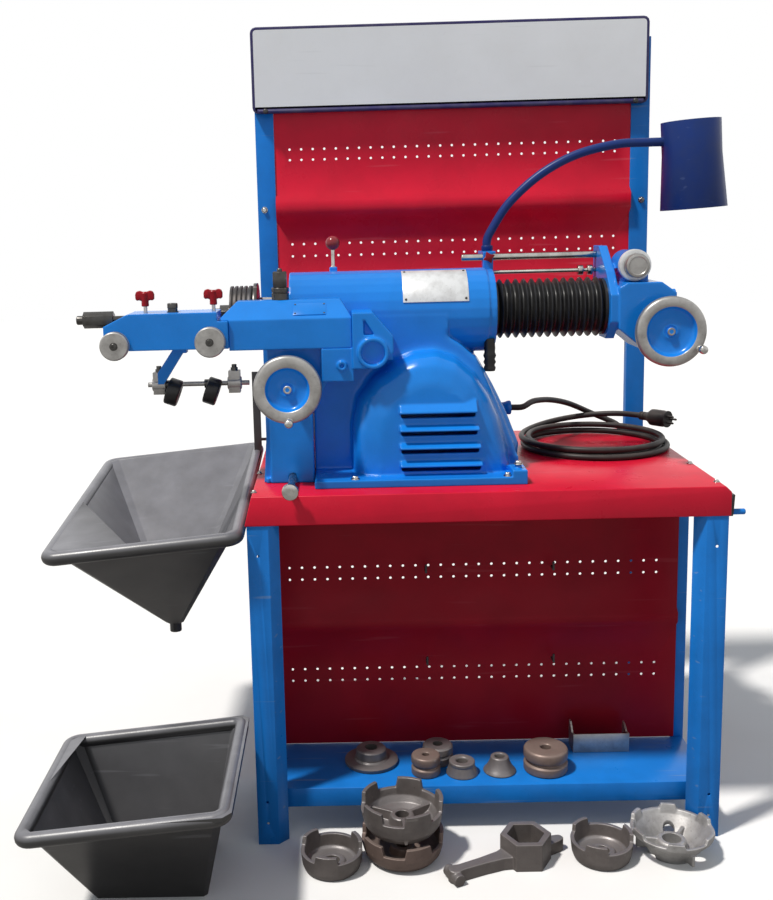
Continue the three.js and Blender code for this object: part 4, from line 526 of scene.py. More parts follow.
def cap(ring, end):
    """Closes the open edge that is selected, with a point where the profile ends on the axis."""
    bpy.ops.mesh.edge_face_add()
    bpy.ops.mesh.inset(thickness=ring[1] * MM * 0.5)
    if end[1] == 0 and end[0] != ring[0]:
        bpy.ops.mesh.merge(type="CENTER")
        bpy.ops.transform.translate(value=(0, 0, (end[0] - ring[0]) * MM))


def turned(name, profile, middle, axis="X", sides=48):
    """Rings of [place along the axis, radius] in mm, about a middle in metres.

    A profile that ends where it starts makes a closed ring. Both ends of any other are capped.
    """
    clear_selection()
    closed = profile[0] == profile[-1]
    points = profile[:-1] if closed else profile
    rings = [ring for ring in points if ring[1] > 0]
    bpy.ops.mesh.primitive_circle_add(vertices=sides, radius=rings[0][1] * MM, location=(0, 0, 0))
    piece = newest(name)
    bpy.ops.object.mode_set(mode="EDIT")
    bpy.ops.mesh.select_mode(type="EDGE")
    bpy.ops.mesh.select_all(action="SELECT")
    bpy.ops.transform.translate(value=(0, 0, rings[0][0] * MM))
    for (before, last_radius), (along, radius) in zip(rings, rings[1:]):
        bpy.ops.mesh.extrude_edges_move(TRANSFORM_OT_translate={"value": (0, 0, (along - before) * MM)})
        share = radius / last_radius
        bpy.ops.transform.resize(value=(share, share, 1), center_override=(0, 0, along * MM))
    if not closed:
        cap(rings[-1], points[-1])
    out_of_edit()
    choose(piece, "EDGE", lambda edge: edge.is_boundary)
    if closed:
        bpy.ops.mesh.bridge_edge_loops()
    else:
        cap(rings[0], points[0])
    bpy.ops.mesh.select_all(action="SELECT")
    bpy.ops.mesh.remove_doubles(threshold=0.005 * MM)
    bpy.ops.mesh.normals_make_consistent(inside=False)
    out_of_edit()
    piece.rotation_euler = TO_AXIS[axis]
    piece.location = middle
    settle(piece)
    return piece


# %% [markdown]
# ## The power cord
# The cord leaves the casting through a strain relief at the right, drops behind it to the bench and
# lies there coiled, its plug on top. Its points are those of the frame's own cord: a route down to
# the bench, then loops that spiral in for half the turns and out again on top of themselves.

# %% The coil on the bench
CORD_RADIUS = 8
COIL_X, COIL_Y, COIL_RADIUS, COIL_PITCH = 350, 480, 196, 18
COIL_START, TURNS_IN, TURN_STEPS = math.radians(40), 1.5, 24
CORD_Z = BENCH_TOP + CORD_RADIUS + 0.3
PLUG_RISE = 33


def ease(value, low, high):
    share = min(1.0, max(0.0, (value - low) / (high - low)))
    return share * share * (3 - 2 * share)


def coil_point(turn):
    """A point of the coil after so many turns. The last third of a turn climbs to the plug."""
    angle = COIL_START - 2 * math.pi * turn
    radius = COIL_RADIUS - COIL_PITCH * (TURNS_IN - abs(turn - TURNS_IN))
    climb = ease(turn, TURNS_IN - 0.25, TURNS_IN + 0.25) * COIL_PITCH
    last = ease(turn, 2 * TURNS_IN - 1 / 3, 2 * TURNS_IN) * PLUG_RISE
    return at(COIL_X + radius * math.cos(angle), COIL_Y + radius * math.sin(angle), CORD_Z + climb + last)


coil_points = [coil_point(step / TURN_STEPS) for step in range(int(2 * TURNS_IN * TURN_STEPS) + 1)]
print("coil:", len(coil_points), "points")

# %% [markdown]
# The route from the casting is a list of given points. A smooth line runs through them, and
# enters the coil along its first turn.


# %% The route to the coil
def through(points, steps):
    """A smooth line through points, with so many steps between each two."""
    line = []
    whole = [points[0] * 2 - points[1], *points, points[-1] * 2 - points[-2]]
    for a, b, c, d in zip(whole, whole[1:], whole[2:], whole[3:]):
        for step in range(steps):
            t = step / steps
            curve = (2 * a - 5 * b + 4 * c - d) * t * t + (3 * b - a - 3 * c + d) * t * t * t
            line.append(0.5 * (2 * b + (c - a) * t + curve))
    return [*line, points[-1]]


start_way = Vector((math.sin(COIL_START), -math.cos(COIL_START), 0))
end_angle = COIL_START - 4 * math.pi * TURNS_IN
end_way = Vector((math.sin(end_angle), -math.cos(end_angle), 0))
coil_entry = coil_points[0] - start_way * 2 * CORD_RADIUS * MM
lead_back = coil_entry - start_way * 4 * CORD_RADIUS * MM
route = [
    at(121.3, 430, 990), at(153, 430, 991), at(190, 480, 997), at(250, 560, 986), at(320, 640, 960),
    at(395, 690, 922), at(462, 680, 892), lead_back + Vector((0, 0, MM)), coil_entry,
]
cord_end = coil_points[-1] + end_way * 2 * CORD_RADIUS * MM
cord_line = [*through(route, 3), *coil_points, cord_end]

# %% [markdown]
# A cord is one unbroken rubber hose, so it is one curve with a round section.


# %% The cord as a curve
def lead_through(curve, places, handles):
    """Leads a curve's only spline through places, which it gets a point for."""
    spline = curve.data.splines[0]
    spline.bezier_points.add(len(places) - len(spline.bezier_points))
    for point, place in zip(spline.bezier_points, places):
        point.co = place
        point.handle_left_type = point.handle_right_type = handles


def round_section(curve, radius, steps):
    """Makes a curve a round rod of a radius in mm, closed at its ends."""
    curve.data.dimensions = "3D"
    curve.data.bevel_depth = radius * MM
    curve.data.bevel_resolution = steps
    curve.data.resolution_u = 3
    curve.data.use_fill_caps = True


power_cord = bpy.data.objects.new("power_cord", bpy.data.curves.new("power_cord", "CURVE"))
bpy.context.scene.collection.objects.link(power_cord)
power_cord.data.splines.new("BEZIER")
round_section(power_cord, CORD_RADIUS, 5)
lead_through(power_cord, cord_line, "AUTO")
power_cord.data.materials.append(cord_rubber)
print("cord's curve:", len(power_cord.data.splines[0].bezier_points), "points")

# %% [markdown]
# The plug is moulded on: a ribbed neck that keeps the cord from kinking, a round body with a finger
# grip, and three round pins. It is turned along the way that the cord's end points.

# %% Plug
PIN_REACH = 10

plug_parts = [turned("mains_plug", [
    [0, 9.5], [0, 12], [4, 12], [5, 10.5], [8, 10.5], [9, 12], [13, 12], [14, 10.5], [17, 10.5], [18, 12],
    [24, 12.5], [30, 17], [37, 22.4], [42, 23], [74, 23], [78, 21.5], [83, 21.5], [84, 23], [87.5, 23],
    [88, 22.4],
], (0, 0, 0), axis="Z", sides=40)]
for angle in (0, 120, 240):
    turn = math.radians(angle)
    pin_place = (PIN_REACH * MM * math.cos(turn), PIN_REACH * MM * math.sin(turn), 0)
    plug_parts.append(turned("plug_pin", [[86, 3], [106, 3], [108, 2]], pin_place, axis="Z", sides=16))
mains_plug = join_pieces("mains_plug", plug_parts)
mains_plug.rotation_mode = "QUATERNION"
mains_plug.rotation_quaternion = end_way.to_track_quat("Z", "Y")
mains_plug.location = cord_end + end_way * 0.3 * MM
print("plug:", len(mains_plug.data.polygons), "faces")

# %% Cord rides on the bench
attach(power_cord, "bench")
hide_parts("cord_lead", "cord_coil")
finish(mains_plug, "bench", cord_rubber, 35, ("cord_plug",))

# %% [markdown]
# ## Bolts
# The same few fasteners hold everything: a hexagonal head on a washer, or a round screw head. Each
# kind is modelled once, standing up, and copied with its own mesh to every place.

# %% Fasteners
hex_head = turned("hex_head", [
    [0, 9.5], [1.6, 9.5], [1.6, 7.6], [1.61, 6.9], [6.4, 6.9], [7.2, 6.0],
], (0, 0, 0), axis="Z", sides=6)
washer = turned("washer", [[0, 10], [1.3, 10], [1.6, 9.6]], (0, 0, 0), axis="Z", sides=28)
bolt_master = join_pieces("bolt_master", [hex_head, washer])
round_edges(bolt_master, 0.4, segments=1, angle=50)
screw_master = turned("screw_master", [
    [0, 6.0], [1.2, 6.0], [2.6, 4.9], [3.4, 3.0],
], (0, 0, 0), axis="Z", sides=24)


def fasten(name, master, places, facing, body, look, size):
    """Copies of a fastener at places in mm, all facing one way, joined in one piece."""
    copies = []
    for place in places:
        one = master.copy()
        one.data = master.data.copy()
        bpy.context.scene.collection.objects.link(one)
        take(one)
        one.rotation_mode = "QUATERNION"
        one.rotation_quaternion = Vector(facing).to_track_quat("Z", "Y")
        one.scale = (size, size, size)
        one.location = at(*place)
        copies.append(one)
    piece = join_pieces(name, copies) if len(copies) > 1 else newest(name)
    finish(piece, body, look)


print("fasteners:", bolt_master.name, screw_master.name)

# %% [markdown]
# ## Copies of the solids
# Many solids already have the right shape and only lack the small rounding that every real edge has.
# For those we copy the mesh, merge its loose triangles, clear the extra lines on flat faces, bevel
# what is sharp and shade the rest smooth.

# %% Copying a solid
WELD = 0.02 * MM
FLAT_WITHIN = math.radians(0.6)


def copy_of_solid(node, name=None, flatten=True):
    clear_selection()
    source = nodes[node]
    piece = source.copy()
    piece.data = source.data.copy()
    piece.parent = None
    piece.matrix_world = Matrix.Identity(4)
    piece.name = name or node + "_made"
    piece.data.name = piece.name
    for key in list(piece.keys()):
        del piece[key]
    bpy.context.scene.collection.objects.link(piece)
    take(piece)
    bpy.ops.object.mode_set(mode="EDIT")
    bpy.ops.mesh.select_all(action="SELECT")
    bpy.ops.mesh.remove_doubles(threshold=WELD)
    if flatten:
        bpy.ops.mesh.dissolve_limited(angle_limit=FLAT_WITHIN)
    out_of_edit()
    return piece


def fabricated(node, look, rounding, smooth=35):
    """A bevelled copy of a solid, which stands for it."""
    piece = copy_of_solid(node)
    round_edges(piece, rounding)
    finish(piece, body_of_node[node], look, smooth, (node,))


# %% [markdown]
# ## The bench
# The top is a pan of red sheet with its apron folded down all round; its left front corner is cut
# at a slant. The legs are angles bent from blue sheet. A folded edge is never sharp, so each gets a
# small bevel, and the pan is bolted down through its corners.

# %% Bench top, legs and shelf
bench_pan = copy_of_solid("bench_top", flatten=False)
round_edges(bench_pan, 2.4)
finish(bench_pan, "bench", red_sheet, 35, ("bench_top",))
for upright in ("front_{}_leg", "{}_board_post", "{}_back_post"):
    for side in ("left", "right"):
        fabricated(upright.format(side), blue_sheet, 1.0)
fabricated("bottom_shelf", blue_sheet, 1.2)
bench_corners = [(x, y, BENCH_TOP) for x in (-538.6, 538.6) for y in (45.5, 242.7)]
fasten("bench_bolts", bolt_master, bench_corners, (0, 0, 1), "bench", bright_steel, 0.75)

# %% [markdown]
# ## Perforated boards
# The tool boards are red sheet with rows of small holes for hooks. One hole is modelled as a short
# rod, copied along the rows and joined, and one boolean cuts them all. The lower board reaches down
# to the shelf, so its lowest edge is moved there first.

# %% Boards with their rows of holes
HOLE_PITCH = 32.7
HOLE_RADIUS = 3.4
BOARD_FOOT = 129


def cut_out(piece, cutter):
    """Cuts the cutter's shape out of a piece, and removes the cutter."""
    apply_modifier(piece, "BOOLEAN", object=cutter, solver="EXACT")
    bpy.data.objects.remove(cutter)


def perforated(node, rows, half, depth, look, reach=0):
    """A board with holes along rows at heights in mm, whose foot reaches lower by so many mm."""
    piece = copy_of_solid(node)
    if reach:
        choose(piece, "VERT", lambda vertex: vertex.co.z < BOARD_FOOT * MM)
        bpy.ops.transform.translate(value=(0, 0, -reach * MM))
        out_of_edit()
    count = int(2 * half / HOLE_PITCH)
    cutters = []
    for z in rows:
        for number in range(count + 1):
            clear_selection()
            bpy.ops.mesh.primitive_cylinder_add(
                vertices=10, radius=HOLE_RADIUS * MM, depth=30 * MM,
                location=at((number - count / 2) * HOLE_PITCH, depth, z), rotation=(math.pi / 2, 0, 0),
            )
            cutters.append(bpy.context.active_object)
    cut_out(piece, join_pieces(node + "_holes", cutters))
    finish(piece, "bench", look, 30, (node,))


perforated("upper_board", (1693, 1664, 1428, 1394), 470, 715, red_sheet)
# The lower board takes the red with the bench's shade painted in.
perforated("lower_board", (606, 574, 328, 296), 490, 281, red_sheet_painted_shade, reach=8.4)
board_corners = [(x, 720.4, 1527) for x in (-534, 534)]
fasten("board_bolts", bolt_master, board_corners, (0, -1, 0), "bench", bright_steel, 0.9)

# %% [markdown]
# ## The sign board
# The sign is a thin white panel in a narrow dark frame, on the front of the back posts. Its face is
# inset to leave the frame, and the frame's faces take the dark paint.

# %% Sign board
sign = copy_of_solid("sign_board")
round_edges(sign, 3)
choose(sign, "FACE", lambda face: face.normal.y < -0.9 and face.calc_area() > 0.05)
bpy.ops.mesh.inset(thickness=5 * MM)
out_of_edit()
for face in sign.data.polygons:
    face.material_index = 0 if face.normal.y < -0.9 and face.area > 0.05 else 1
finish(sign, "bench", [sign_paint, navy_band], 35, ("sign_board",))
sign_corners = [(x, 693.7, 1797) for x in (-520, 506)]
fasten("sign_bolts", screw_master, sign_corners, (0, -1, 0), "bench", black_bolt, 1.2)

# %% [markdown]
# ## The castings
# The main casting, its column, the slide, the cutter body and the feed box came out of sand moulds
# and were painted thickly, so all of their edges and inner corners are rolled. Remeshing the copies
# in small voxels and smoothing them gives both.

# %% Casting in sand
COARSE = 1


def skinned(piece, voxel):
    """Remeshes a piece in voxels of a size in mm, which closes it and melts its parts together."""
    take(piece)
    piece.data.remesh_voxel_size = voxel * MM
    bpy.ops.object.voxel_remesh()


def cast_in_sand(piece, voxel, passes):
    """Rolls a solid's edges over: triangles, a voxel skin, and smoothing."""
    choose(piece, "FACE", lambda face: True)
    bpy.ops.mesh.quads_convert_to_tris()
    out_of_edit()
    skinned(piece, voxel * COARSE)
    apply_modifier(piece, "SMOOTH", factor=0.5, iterations=passes)


print("voxels are", COARSE, "times the final size")

# %% [markdown]
# The motor cover is blended into the main casting with filler and paint, so no seam shows. The two
# copies are joined before remeshing, and the dome and the shoulder below the barrel are smoothed
# more than the rest, which rolls them into each other. The louvres keep their edges.


# %% Main casting with its motor cover
def soften(piece, passes, test):
    """Smooths only the part of a piece that passes the test, which gets a place in mm."""
    group = piece.vertex_groups.new(name="soft")
    inside = [v.index for v in piece.data.vertices if test(*((v.co - bench_zero) / MM))]
    group.add(inside, 1.0, "REPLACE")
    apply_modifier(piece, "SMOOTH", factor=0.5, iterations=passes, vertex_group="soft")
    piece.vertex_groups.clear()


def dome_or_shoulder(x, y, z):
    louvres = -206 < x < 4 and z < 1082 and y < 135
    dome = -332 < x < 112 and 912 < z < 1205 and 60 < y < 230
    shoulder = -110 < x < 96 and 1040 < z < 1240 and y > 190
    off_barrel = math.hypot(y - SPINDLE_Y, z - SPINDLE_Z) > 110
    return off_barrel and (shoulder or (dome and not louvres))


motor_cover = copy_of_solid("motor_cover")
main_casting = join_pieces("main_casting", [copy_of_solid("lathe_housing", "main_casting"), motor_cover])
cast_in_sand(main_casting, 3.0, 4)
soften(main_casting, 70, dome_or_shoulder)
apply_modifier(main_casting, "DECIMATE", ratio=0.38)
finish(main_casting, "bench", blue_enamel, 180, ("lathe_housing", "motor_cover"))

# %% [markdown]
# The column, slide, cutter body and feed box are separate castings, so they are remeshed one by one.
# Three bolts hold the main casting's foot and its side.

# %% Other castings
for node, voxel, passes, kept_share in (
    ("cross_column", 2.8, 4, 0.45), ("cross_slide", 2.2, 3, 0.40),
    ("cutter_body", 2.2, 3, 0.45), ("feed_box", 2.6, 4, 0.45),
):
    casting = copy_of_solid(node)
    cast_in_sand(casting, voxel, passes)
    apply_modifier(casting, "DECIMATE", ratio=kept_share)
    finish(casting, body_of_node[node], blue_enamel, 180, (node,))
foot_bolts = [(86, 90, 913.0), (-300, 78, 888.4), (60, 78, 888.4)]
fasten("housing_bolts", bolt_master, foot_bolts, (0, 0, 1), "bench", bright_steel, 1.1)

# %% [markdown]
# ## Plates
# A bare plate was riveted to the slide's bevel and painted over. The bevel's own run and rise say how
# far the plate leans back, and its rivets are placed along and out of the bevel.

# %% Slide plate and rivets
BEVEL_RUN, BEVEL_RISE, BEVEL_LOW = 50, 41, 1269
RIVET_X, RIVET_UP = 34, 15
lean = math.atan2(BEVEL_RISE, BEVEL_RUN)
up_bevel = Vector((0, math.cos(lean), math.sin(lean)))
out_of_bevel = Vector((0, -math.sin(lean), math.cos(lean)))


def block(name, size, middle, rounding, leaning=0.0):
    """A bevelled block of a size in mm, about a middle in metres, leant back by an angle."""
    clear_selection()
    bpy.ops.mesh.primitive_cube_add(size=1)
    piece = newest(name)
    piece.scale = Vector(size) * MM
    piece.rotation_euler = (leaning, 0, 0)
    piece.location = middle
    settle(piece)
    round_edges(piece, rounding)
    return piece


plate_middle = at(-398, 100 + BEVEL_RUN / 2, BEVEL_LOW + BEVEL_RISE / 2) + out_of_bevel * 0.4 * MM
slide_plate = block("slide_plate", (78, 40, 1.6), plate_middle, 0.6, lean)
finish(slide_plate, "cross_carriage", blue_enamel)
rivets = []
for x in (-RIVET_X, RIVET_X):
    for up in (-RIVET_UP, RIVET_UP):
        rivet = plate_middle + Vector((x, 0, 0)) * MM + up_bevel * up * MM + out_of_bevel * 0.9 * MM
        rivets.append(tuple((rivet - bench_zero) / MM))
fasten("slide_rivets", screw_master, rivets, tuple(out_of_bevel), "cross_carriage", dark_steel, 0.36)

# %% [markdown]
# The bright name plate is rolled round the barrel, so each of its rivets faces out from the spindle's
# axis at its own angle.

# %% Rivets of the name plate
NAME_PLATE_RADIUS = 105.9

number = 0
for degrees in (20, 69):
    turn = math.radians(degrees)
    outward = (0, -NAME_PLATE_RADIUS * math.cos(turn), NAME_PLATE_RADIUS * math.sin(turn))
    for x in (-167, -22):
        place = (x, SPINDLE_Y + outward[1], SPINDLE_Z + outward[2])
        fasten(f"plate_rivet_{number}", screw_master, [place], outward, "bench", dark_steel, 0.5)
        number += 1

# %% [markdown]
# ## Handwheels
# Each wheel is a cast rim with a dished web, turned bright on the rim and painted inside the dish.
# It is turned from one profile, with the hub nut standing in the middle; the faces inside the rim
# then take the blue.


# %% Handwheels
def handwheel(node, x, front, z, radius, dish, back_end):
    """A wheel about a place in mm, its rim's front face at one depth and its hub's end at another."""
    hub = 19
    wheel = turned(node + "_made", [[front + along, ring] for along, ring in (
        (9, 0), (5.5, 5), (5, 8), (6, 9.5), (13.2, 10), (13.2, 14), (12.2, 15), (12.2, hub - 1),
        (13.6, hub + 1), (14.4, hub + 8), (14.2, dish - 12), (11.5, dish - 7), (5, dish - 3.2),
        (1.2, dish - 1.2), (0, dish + 1.5), (0, radius - 8), (1.4, radius - 4), (4.2, radius - 1.4),
        (8, radius), (17, radius), (20.5, radius - 1.4), (24, radius - 5), (26, radius - 14),
        (23, dish + 3), (21, dish - 6), (21, 15), (22, 13), (back_end - front, 13),
    )], at(x, 0, z), axis="Y", sides=96)
    for face in wheel.data.polygons:
        spot = (face.center - at(x, front, z)) / MM
        reach = math.hypot(spot.x, spot.z)
        steel = 5 < reach < 9.3 or reach > dish - 1.5 or spot.y > 18
        face.material_index = 0 if steel else 1
    finish(wheel, body_of_node[node], [dull_aluminium, blue_enamel], 40, (node,))


handwheel("cross_handwheel", -453, 50, SPINDLE_Z - 155, 80, 53, 155.7)
handwheel("feed_handwheel", 459, 150, SPINDLE_Z - 53, 84, 61, 237.7)

# %% [markdown]
# Each wheel has a turned steel grip near its rim. Its solid's box says where the grip's axis is.

# %% Grips
for node, front in (("cross_crank_knob", 50), ("feed_crank_knob", 150)):
    low, high = (Vector(corner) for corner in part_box(node))
    middle = ((low + high) / 2 - bench_zero) / MM
    grip = turned(node + "_made", [[front - along, ring] for along, ring in (
        (-9, 4), (0.3, 4), (0.3, 8.6), (3, 8.9), (4, 7.2), (8, 7.4), (17, 9.8), (24, 10.4), (29, 10.2),
        (32.5, 8.4), (34, 5),
    )], at(middle.x, 0, middle.z), axis="Y", sides=32)
    finish(grip, body_of_node[node], bright_steel, 40, (node,))

# %% [markdown]
# ## The draw knob and the shift lever
# The draw knob is a short steel drum on a rod at the foot of the column. The shift lever is a steel
# stem with a red ball, whose profile is worked out from the circle.

# %% Draw knob and shift lever
BALL_Z, BALL_RADIUS = 1437, 18
LEVER_X, LEVER_Y = -341, 340

draw_knob = turned("draw_knob_made", [
    [-30, 12], [-28.5, 18], [-26, 19.6], [-18, 19.6], [-16.6, 18.5], [-16, 9], [168, 9], [170, 8],
], at(-450, 0, BENCH_TOP + 16), axis="Y", sides=48)
finish(draw_knob, "draw_knob", bright_steel, 40, ("draw_knob",))

ball_turns = [math.radians(degrees) for degrees in range(-80, 81, 10)]
ball_rings = [[BALL_Z + BALL_RADIUS * math.sin(turn), BALL_RADIUS * math.cos(turn)] for turn in ball_turns]
lever_ball = turned("lever_ball", ball_rings, at(LEVER_X, LEVER_Y, 0), axis="Z", sides=40)
finish(lever_ball, "shift_lever", ball_lacquer, 60, ("shift_lever",))
lever_stem = turned("lever_stem", [
    [1372, 4.5], [1419, 4.5], [1420, 4],
], at(LEVER_X, LEVER_Y, 0), axis="Z", sides=24)
lever_foot = turned("lever_foot", [
    [335.7, 7.4], [336.3, 8], [343.7, 8], [344.3, 7.4],
], at(LEVER_X, 0, 1372.3), axis="Y", sides=32)
finish(join_pieces("lever_stem", [lever_stem, lever_foot]), "shift_lever", bright_steel)

# %% [markdown]
# ## The clamp nut
# The hexagonal nut stands on a dark grooved collar, with the end of its stud above it. A turned
# shape with six sides is a hexagon.

# %% Clamp nut on its collar
clamp_axis = at(-468, 170, 0)
clamp_collar = turned("clamp_collar", [
    [1310.4, 18], [1310.4, 20.6], [1325, 20.6], [1326, 19], [1328, 19], [1329, 20.6], [1337.5, 20.6],
    [1339.2, 19],
], clamp_axis, axis="Z", sides=48)
finish(clamp_collar, "clamp_nut", dark_steel, 35, ("clamp_nut",))
clamp_hex = turned("clamp_hex", [
    [1339.3, 16.5], [1340.5, 18.8], [1375, 18.8], [1377, 16.3],
], clamp_axis, axis="Z", sides=6)
round_edges(clamp_hex, 0.7)
clamp_stud = turned("clamp_stud", [[1376, 6], [1382, 6], [1384.2, 4.2]], clamp_axis, axis="Z", sides=24)
finish(join_pieces("clamp_hex", [clamp_hex, clamp_stud]), "clamp_nut", dark_steel)

# %% [markdown]
# ## Drawn-out shapes
# A shape with one outline all the way through starts as that outline, flat, and is extruded along
# an axis.

# %% Drawing out an outline
PLACE_ON = {
    "X": lambda along, a, b: at(along, a, b),
    "Y": lambda along, a, b: at(a, along, b),
    "Z": lambda along, a, b: at(a, b, along),
}
WAY_OF = {"X": (1, 0, 0), "Y": (0, 1, 0), "Z": (0, 0, 1)}


def drawn_out(name, outline, start, end, axis="Y"):
    """A flat outline in mm, across an axis, extruded from one place on it to another."""
    clear_selection()
    bpy.ops.mesh.primitive_circle_add(vertices=len(outline), radius=MM, fill_type="NGON")
    piece = newest(name)
    for vertex, (a, b) in zip(piece.data.vertices, outline):
        vertex.co = PLACE_ON[axis](start, a, b)
    choose(piece, "FACE", lambda face: True)
    step = Vector(WAY_OF[axis]) * (end - start) * MM
    bpy.ops.mesh.extrude_region_move(TRANSFORM_OT_translate={"value": step})
    bpy.ops.mesh.select_all(action="SELECT")
    bpy.ops.mesh.normals_make_consistent(inside=False)
    out_of_edit()
    return piece


# %% [markdown]
# The thumb screws' wings are drawn out: one half of the outline is written down, and the other half
# mirrors it. Their hubs and stems are turned.

# %% Thumb screws
THUMB_Y = 132
HALF_THICK = 5.8
HALF_WING = [
    (8, 1317), (12, 1320), (19, 1318.5), (22, 1323), (22.3, 1333), (19.5, 1340), (12, 1342.4), (6, 1340),
]


def thumb_screw(node, x):
    left_wing = [(x - aside, z) for aside, z in HALF_WING]
    right_wing = [(x + aside, z) for aside, z in reversed(HALF_WING)]
    outline = [*left_wing, (x, 1338.8), *right_wing]
    wing = drawn_out(node + "_made", outline, THUMB_Y - HALF_THICK, THUMB_Y + HALF_THICK)
    round_edges(wing, 3.2, segments=3)
    hub = turned(node + "_hub", [
        [1305, 7.4], [1306.5, 8.8], [1319, 8.4], [1336, 9.5], [1339.5, 7],
    ], at(x, THUMB_Y, 0), axis="Z", sides=28)
    stem = turned(node + "_stem", [
        [1262, 4.4], [1305, 4.4], [1305.5, 4],
    ], at(x, THUMB_Y, 0), axis="Z", sides=20)
    finish(join_pieces(node + "_made", [wing, hub]), body_of_node[node], red_cast, 35, (node,))
    finish(stem, body_of_node[node], bright_steel)


thumb_screw("left_thumb_screw", -785)
thumb_screw("right_thumb_screw", -624)

# %% [markdown]
# Between the thumb screws a dark hollow screw stands on the cutter body.

# %% Top screw
top_screw = turned("top_screw_made", [
    [1290, 14], [1292, 14], [1292, 11.6], [1299, 11.6], [1300, 12.4], [1309, 12.4], [1311, 11],
    [1311, 6.2], [1304, 6],
], at(-721, THUMB_Y, 0), axis="Z", sides=36)
finish(top_screw, "cross_carriage", dark_steel)

# %% [markdown]
# ## Depth dials
# The two dials that set the depth of cut are aluminium drums with a fine knurl round their edge. The
# drum is turned, and every second face round its edge is pressed in.

# %% Dials
DIAL_FACE = 91.7
KNURL_STEP = 3


def depth_dial(node, x, z, radius):
    centre = at(x, 0, z)
    dial = turned(node + "_made", [[DIAL_FACE + along, ring] for along, ring in (
        (-22, radius - 2.6), (-20.6, radius - 1.2), (-19, radius), (-3, radius), (-1.5, radius - 1),
        (0, radius - 2.4), (0, 11), (11.4, 11),
    )], centre, axis="Y", sides=120)

    def knurled(face):
        spot = (face.calc_center_median() - centre) / MM
        turn = math.degrees(math.atan2(spot.z, spot.x))
        on_drum = -18.5 < spot.y - DIAL_FACE < -3.5 and math.hypot(spot.x, spot.z) > radius - 0.7
        return on_drum and int((turn + 360) // KNURL_STEP) % 2 == 0

    choose(dial, "FACE", knurled)
    bpy.ops.mesh.inset(thickness=0.25 * MM, depth=-0.7 * MM, use_individual=True)
    out_of_edit()
    finish(dial, body_of_node[node], dull_aluminium, 30, (node,))
    screw = turned(node + "_screw", [[DIAL_FACE + along, ring] for along, ring in (
        (-22.2, 9.5), (-22.9, 9.5), (-22.9, 7.2), (-25, 7), (-25.6, 6.2), (-25.6, 3.4), (-23, 3),
    )], centre, axis="Y", sides=36)
    finish(screw, body_of_node[node], dark_steel)


depth_dial("left_dial", -853, SPINDLE_Z - 46, 33.6)
depth_dial("right_dial", -630, SPINDLE_Z - 42, 35.6)

# %% [markdown]
# ## Steel parts that keep their shape
# The quill, the arbor, the rods and the tool holder are ground steel, and their solids already have
# the right shape. They only need the small bevel that a lathe leaves on every edge.

# %% Bevelled copies
for node, look, rounding in (
    ("spindle_quill", bright_steel, 0.8), ("spindle_arbor", dark_steel, 1.0),
    ("ridged_adapter", black_bolt, 0.8), ("arbor_nut", dark_steel, 1.0), ("stop_rod", bright_steel, 1.2),
    ("trip_rod", bright_steel, 0.8), ("tool_holder", dark_steel, 0.9), ("star_screw", red_cast, 1.2),
    ("name_plate", plate_metal, 0.3),
):
    fabricated(node, look, rounding)

# %% [markdown]
# The tool holder slides in the cutter body's bore, so the shank of its copy is drawn in until it
# clears the painted casting round it.

# %% Tool holder's shank
holder = bpy.data.objects["tool_holder_made"]
holder_axis = at(-850, 166, SPINDLE_Z + 9)
shank_start = at(-925, 0, 0).x
choose(holder, "VERT", lambda v: v.co.x > shank_start and (v.co.yz - holder_axis.yz).length < 13 * MM)
bpy.ops.transform.resize(value=(1, 0.88, 0.88), center_override=holder_axis)
out_of_edit()
print("shank:", sum(v.co.x > shank_start for v in holder.data.vertices), "vertices right of its start")

# %% [markdown]
# ## Silencer
# A blue arm hangs from the cutter body and carries a clamp and a steel cross rod. They are one solid,
# so each face takes its finish by its place. Two turned knuckles round the clamps.

# %% Silencer's arm and clamps
SILENCER_Y, SILENCER_Z = 200, SPINDLE_Z - 156

silencer = copy_of_solid("silencer_arm")
round_edges(silencer, 1.4)
for face in silencer.data.polygons:
    spot = (face.center - bench_zero) / MM
    on_arm = -758 < spot.x < -690 and spot.z > 1112
    face.material_index = 1 if on_arm else 2 if spot.z > 1139.5 else 0
finish(silencer, "silencer", [dull_aluminium, blue_enamel, dark_steel], 35, ("silencer_arm",))
for x in (-772, -588):
    knuckle = turned("clamp_knuckle", [
        [-17, 7], [-17, 14], [-15.5, 16], [15.5, 16], [17, 14], [17, 7],
    ], at(x, SILENCER_Y, SILENCER_Z), axis="X", sides=40)
    finish(knuckle, "silencer", dull_aluminium)

# %% [markdown]
# The silencer's pads are short rubber drums, set askew on their hubs so that one edge rubs on the
# disc that is being cut. Each is turned upright, with a steel bush, and then leant over.

# %% Silencer pads
PAD_LEAN = math.radians(20)
PAD_HANG = 19

for node, x in (("silencer_left_pad", -739), ("silencer_right_pad", -644)):
    drum = turned(node + "_made", [
        [-16, 11], [-16, 29.5], [-14.8, 31.6], [-12.5, 33], [12.5, 33], [14.8, 31.6], [16, 29.5], [16, 11],
        [12, 9], [-12, 9], [-16, 11],
    ], (0, 0, 0), axis="X", sides=56)
    drum.rotation_euler = (0, PAD_LEAN, 0)
    drum.location = at(x, SILENCER_Y, SILENCER_Z - PAD_HANG)
    finish(drum, body_of_node[node], soft_rubber, 35, (node,))
    bush = turned(node + "_bush", [
        [-17.5, 6.6], [-17.5, 10.6], [17.5, 10.6], [17.5, 6.6], [-17.5, 6.6],
    ], at(x, SILENCER_Y, SILENCER_Z), axis="X", sides=36)
    finish(bush, body_of_node[node], dark_steel)

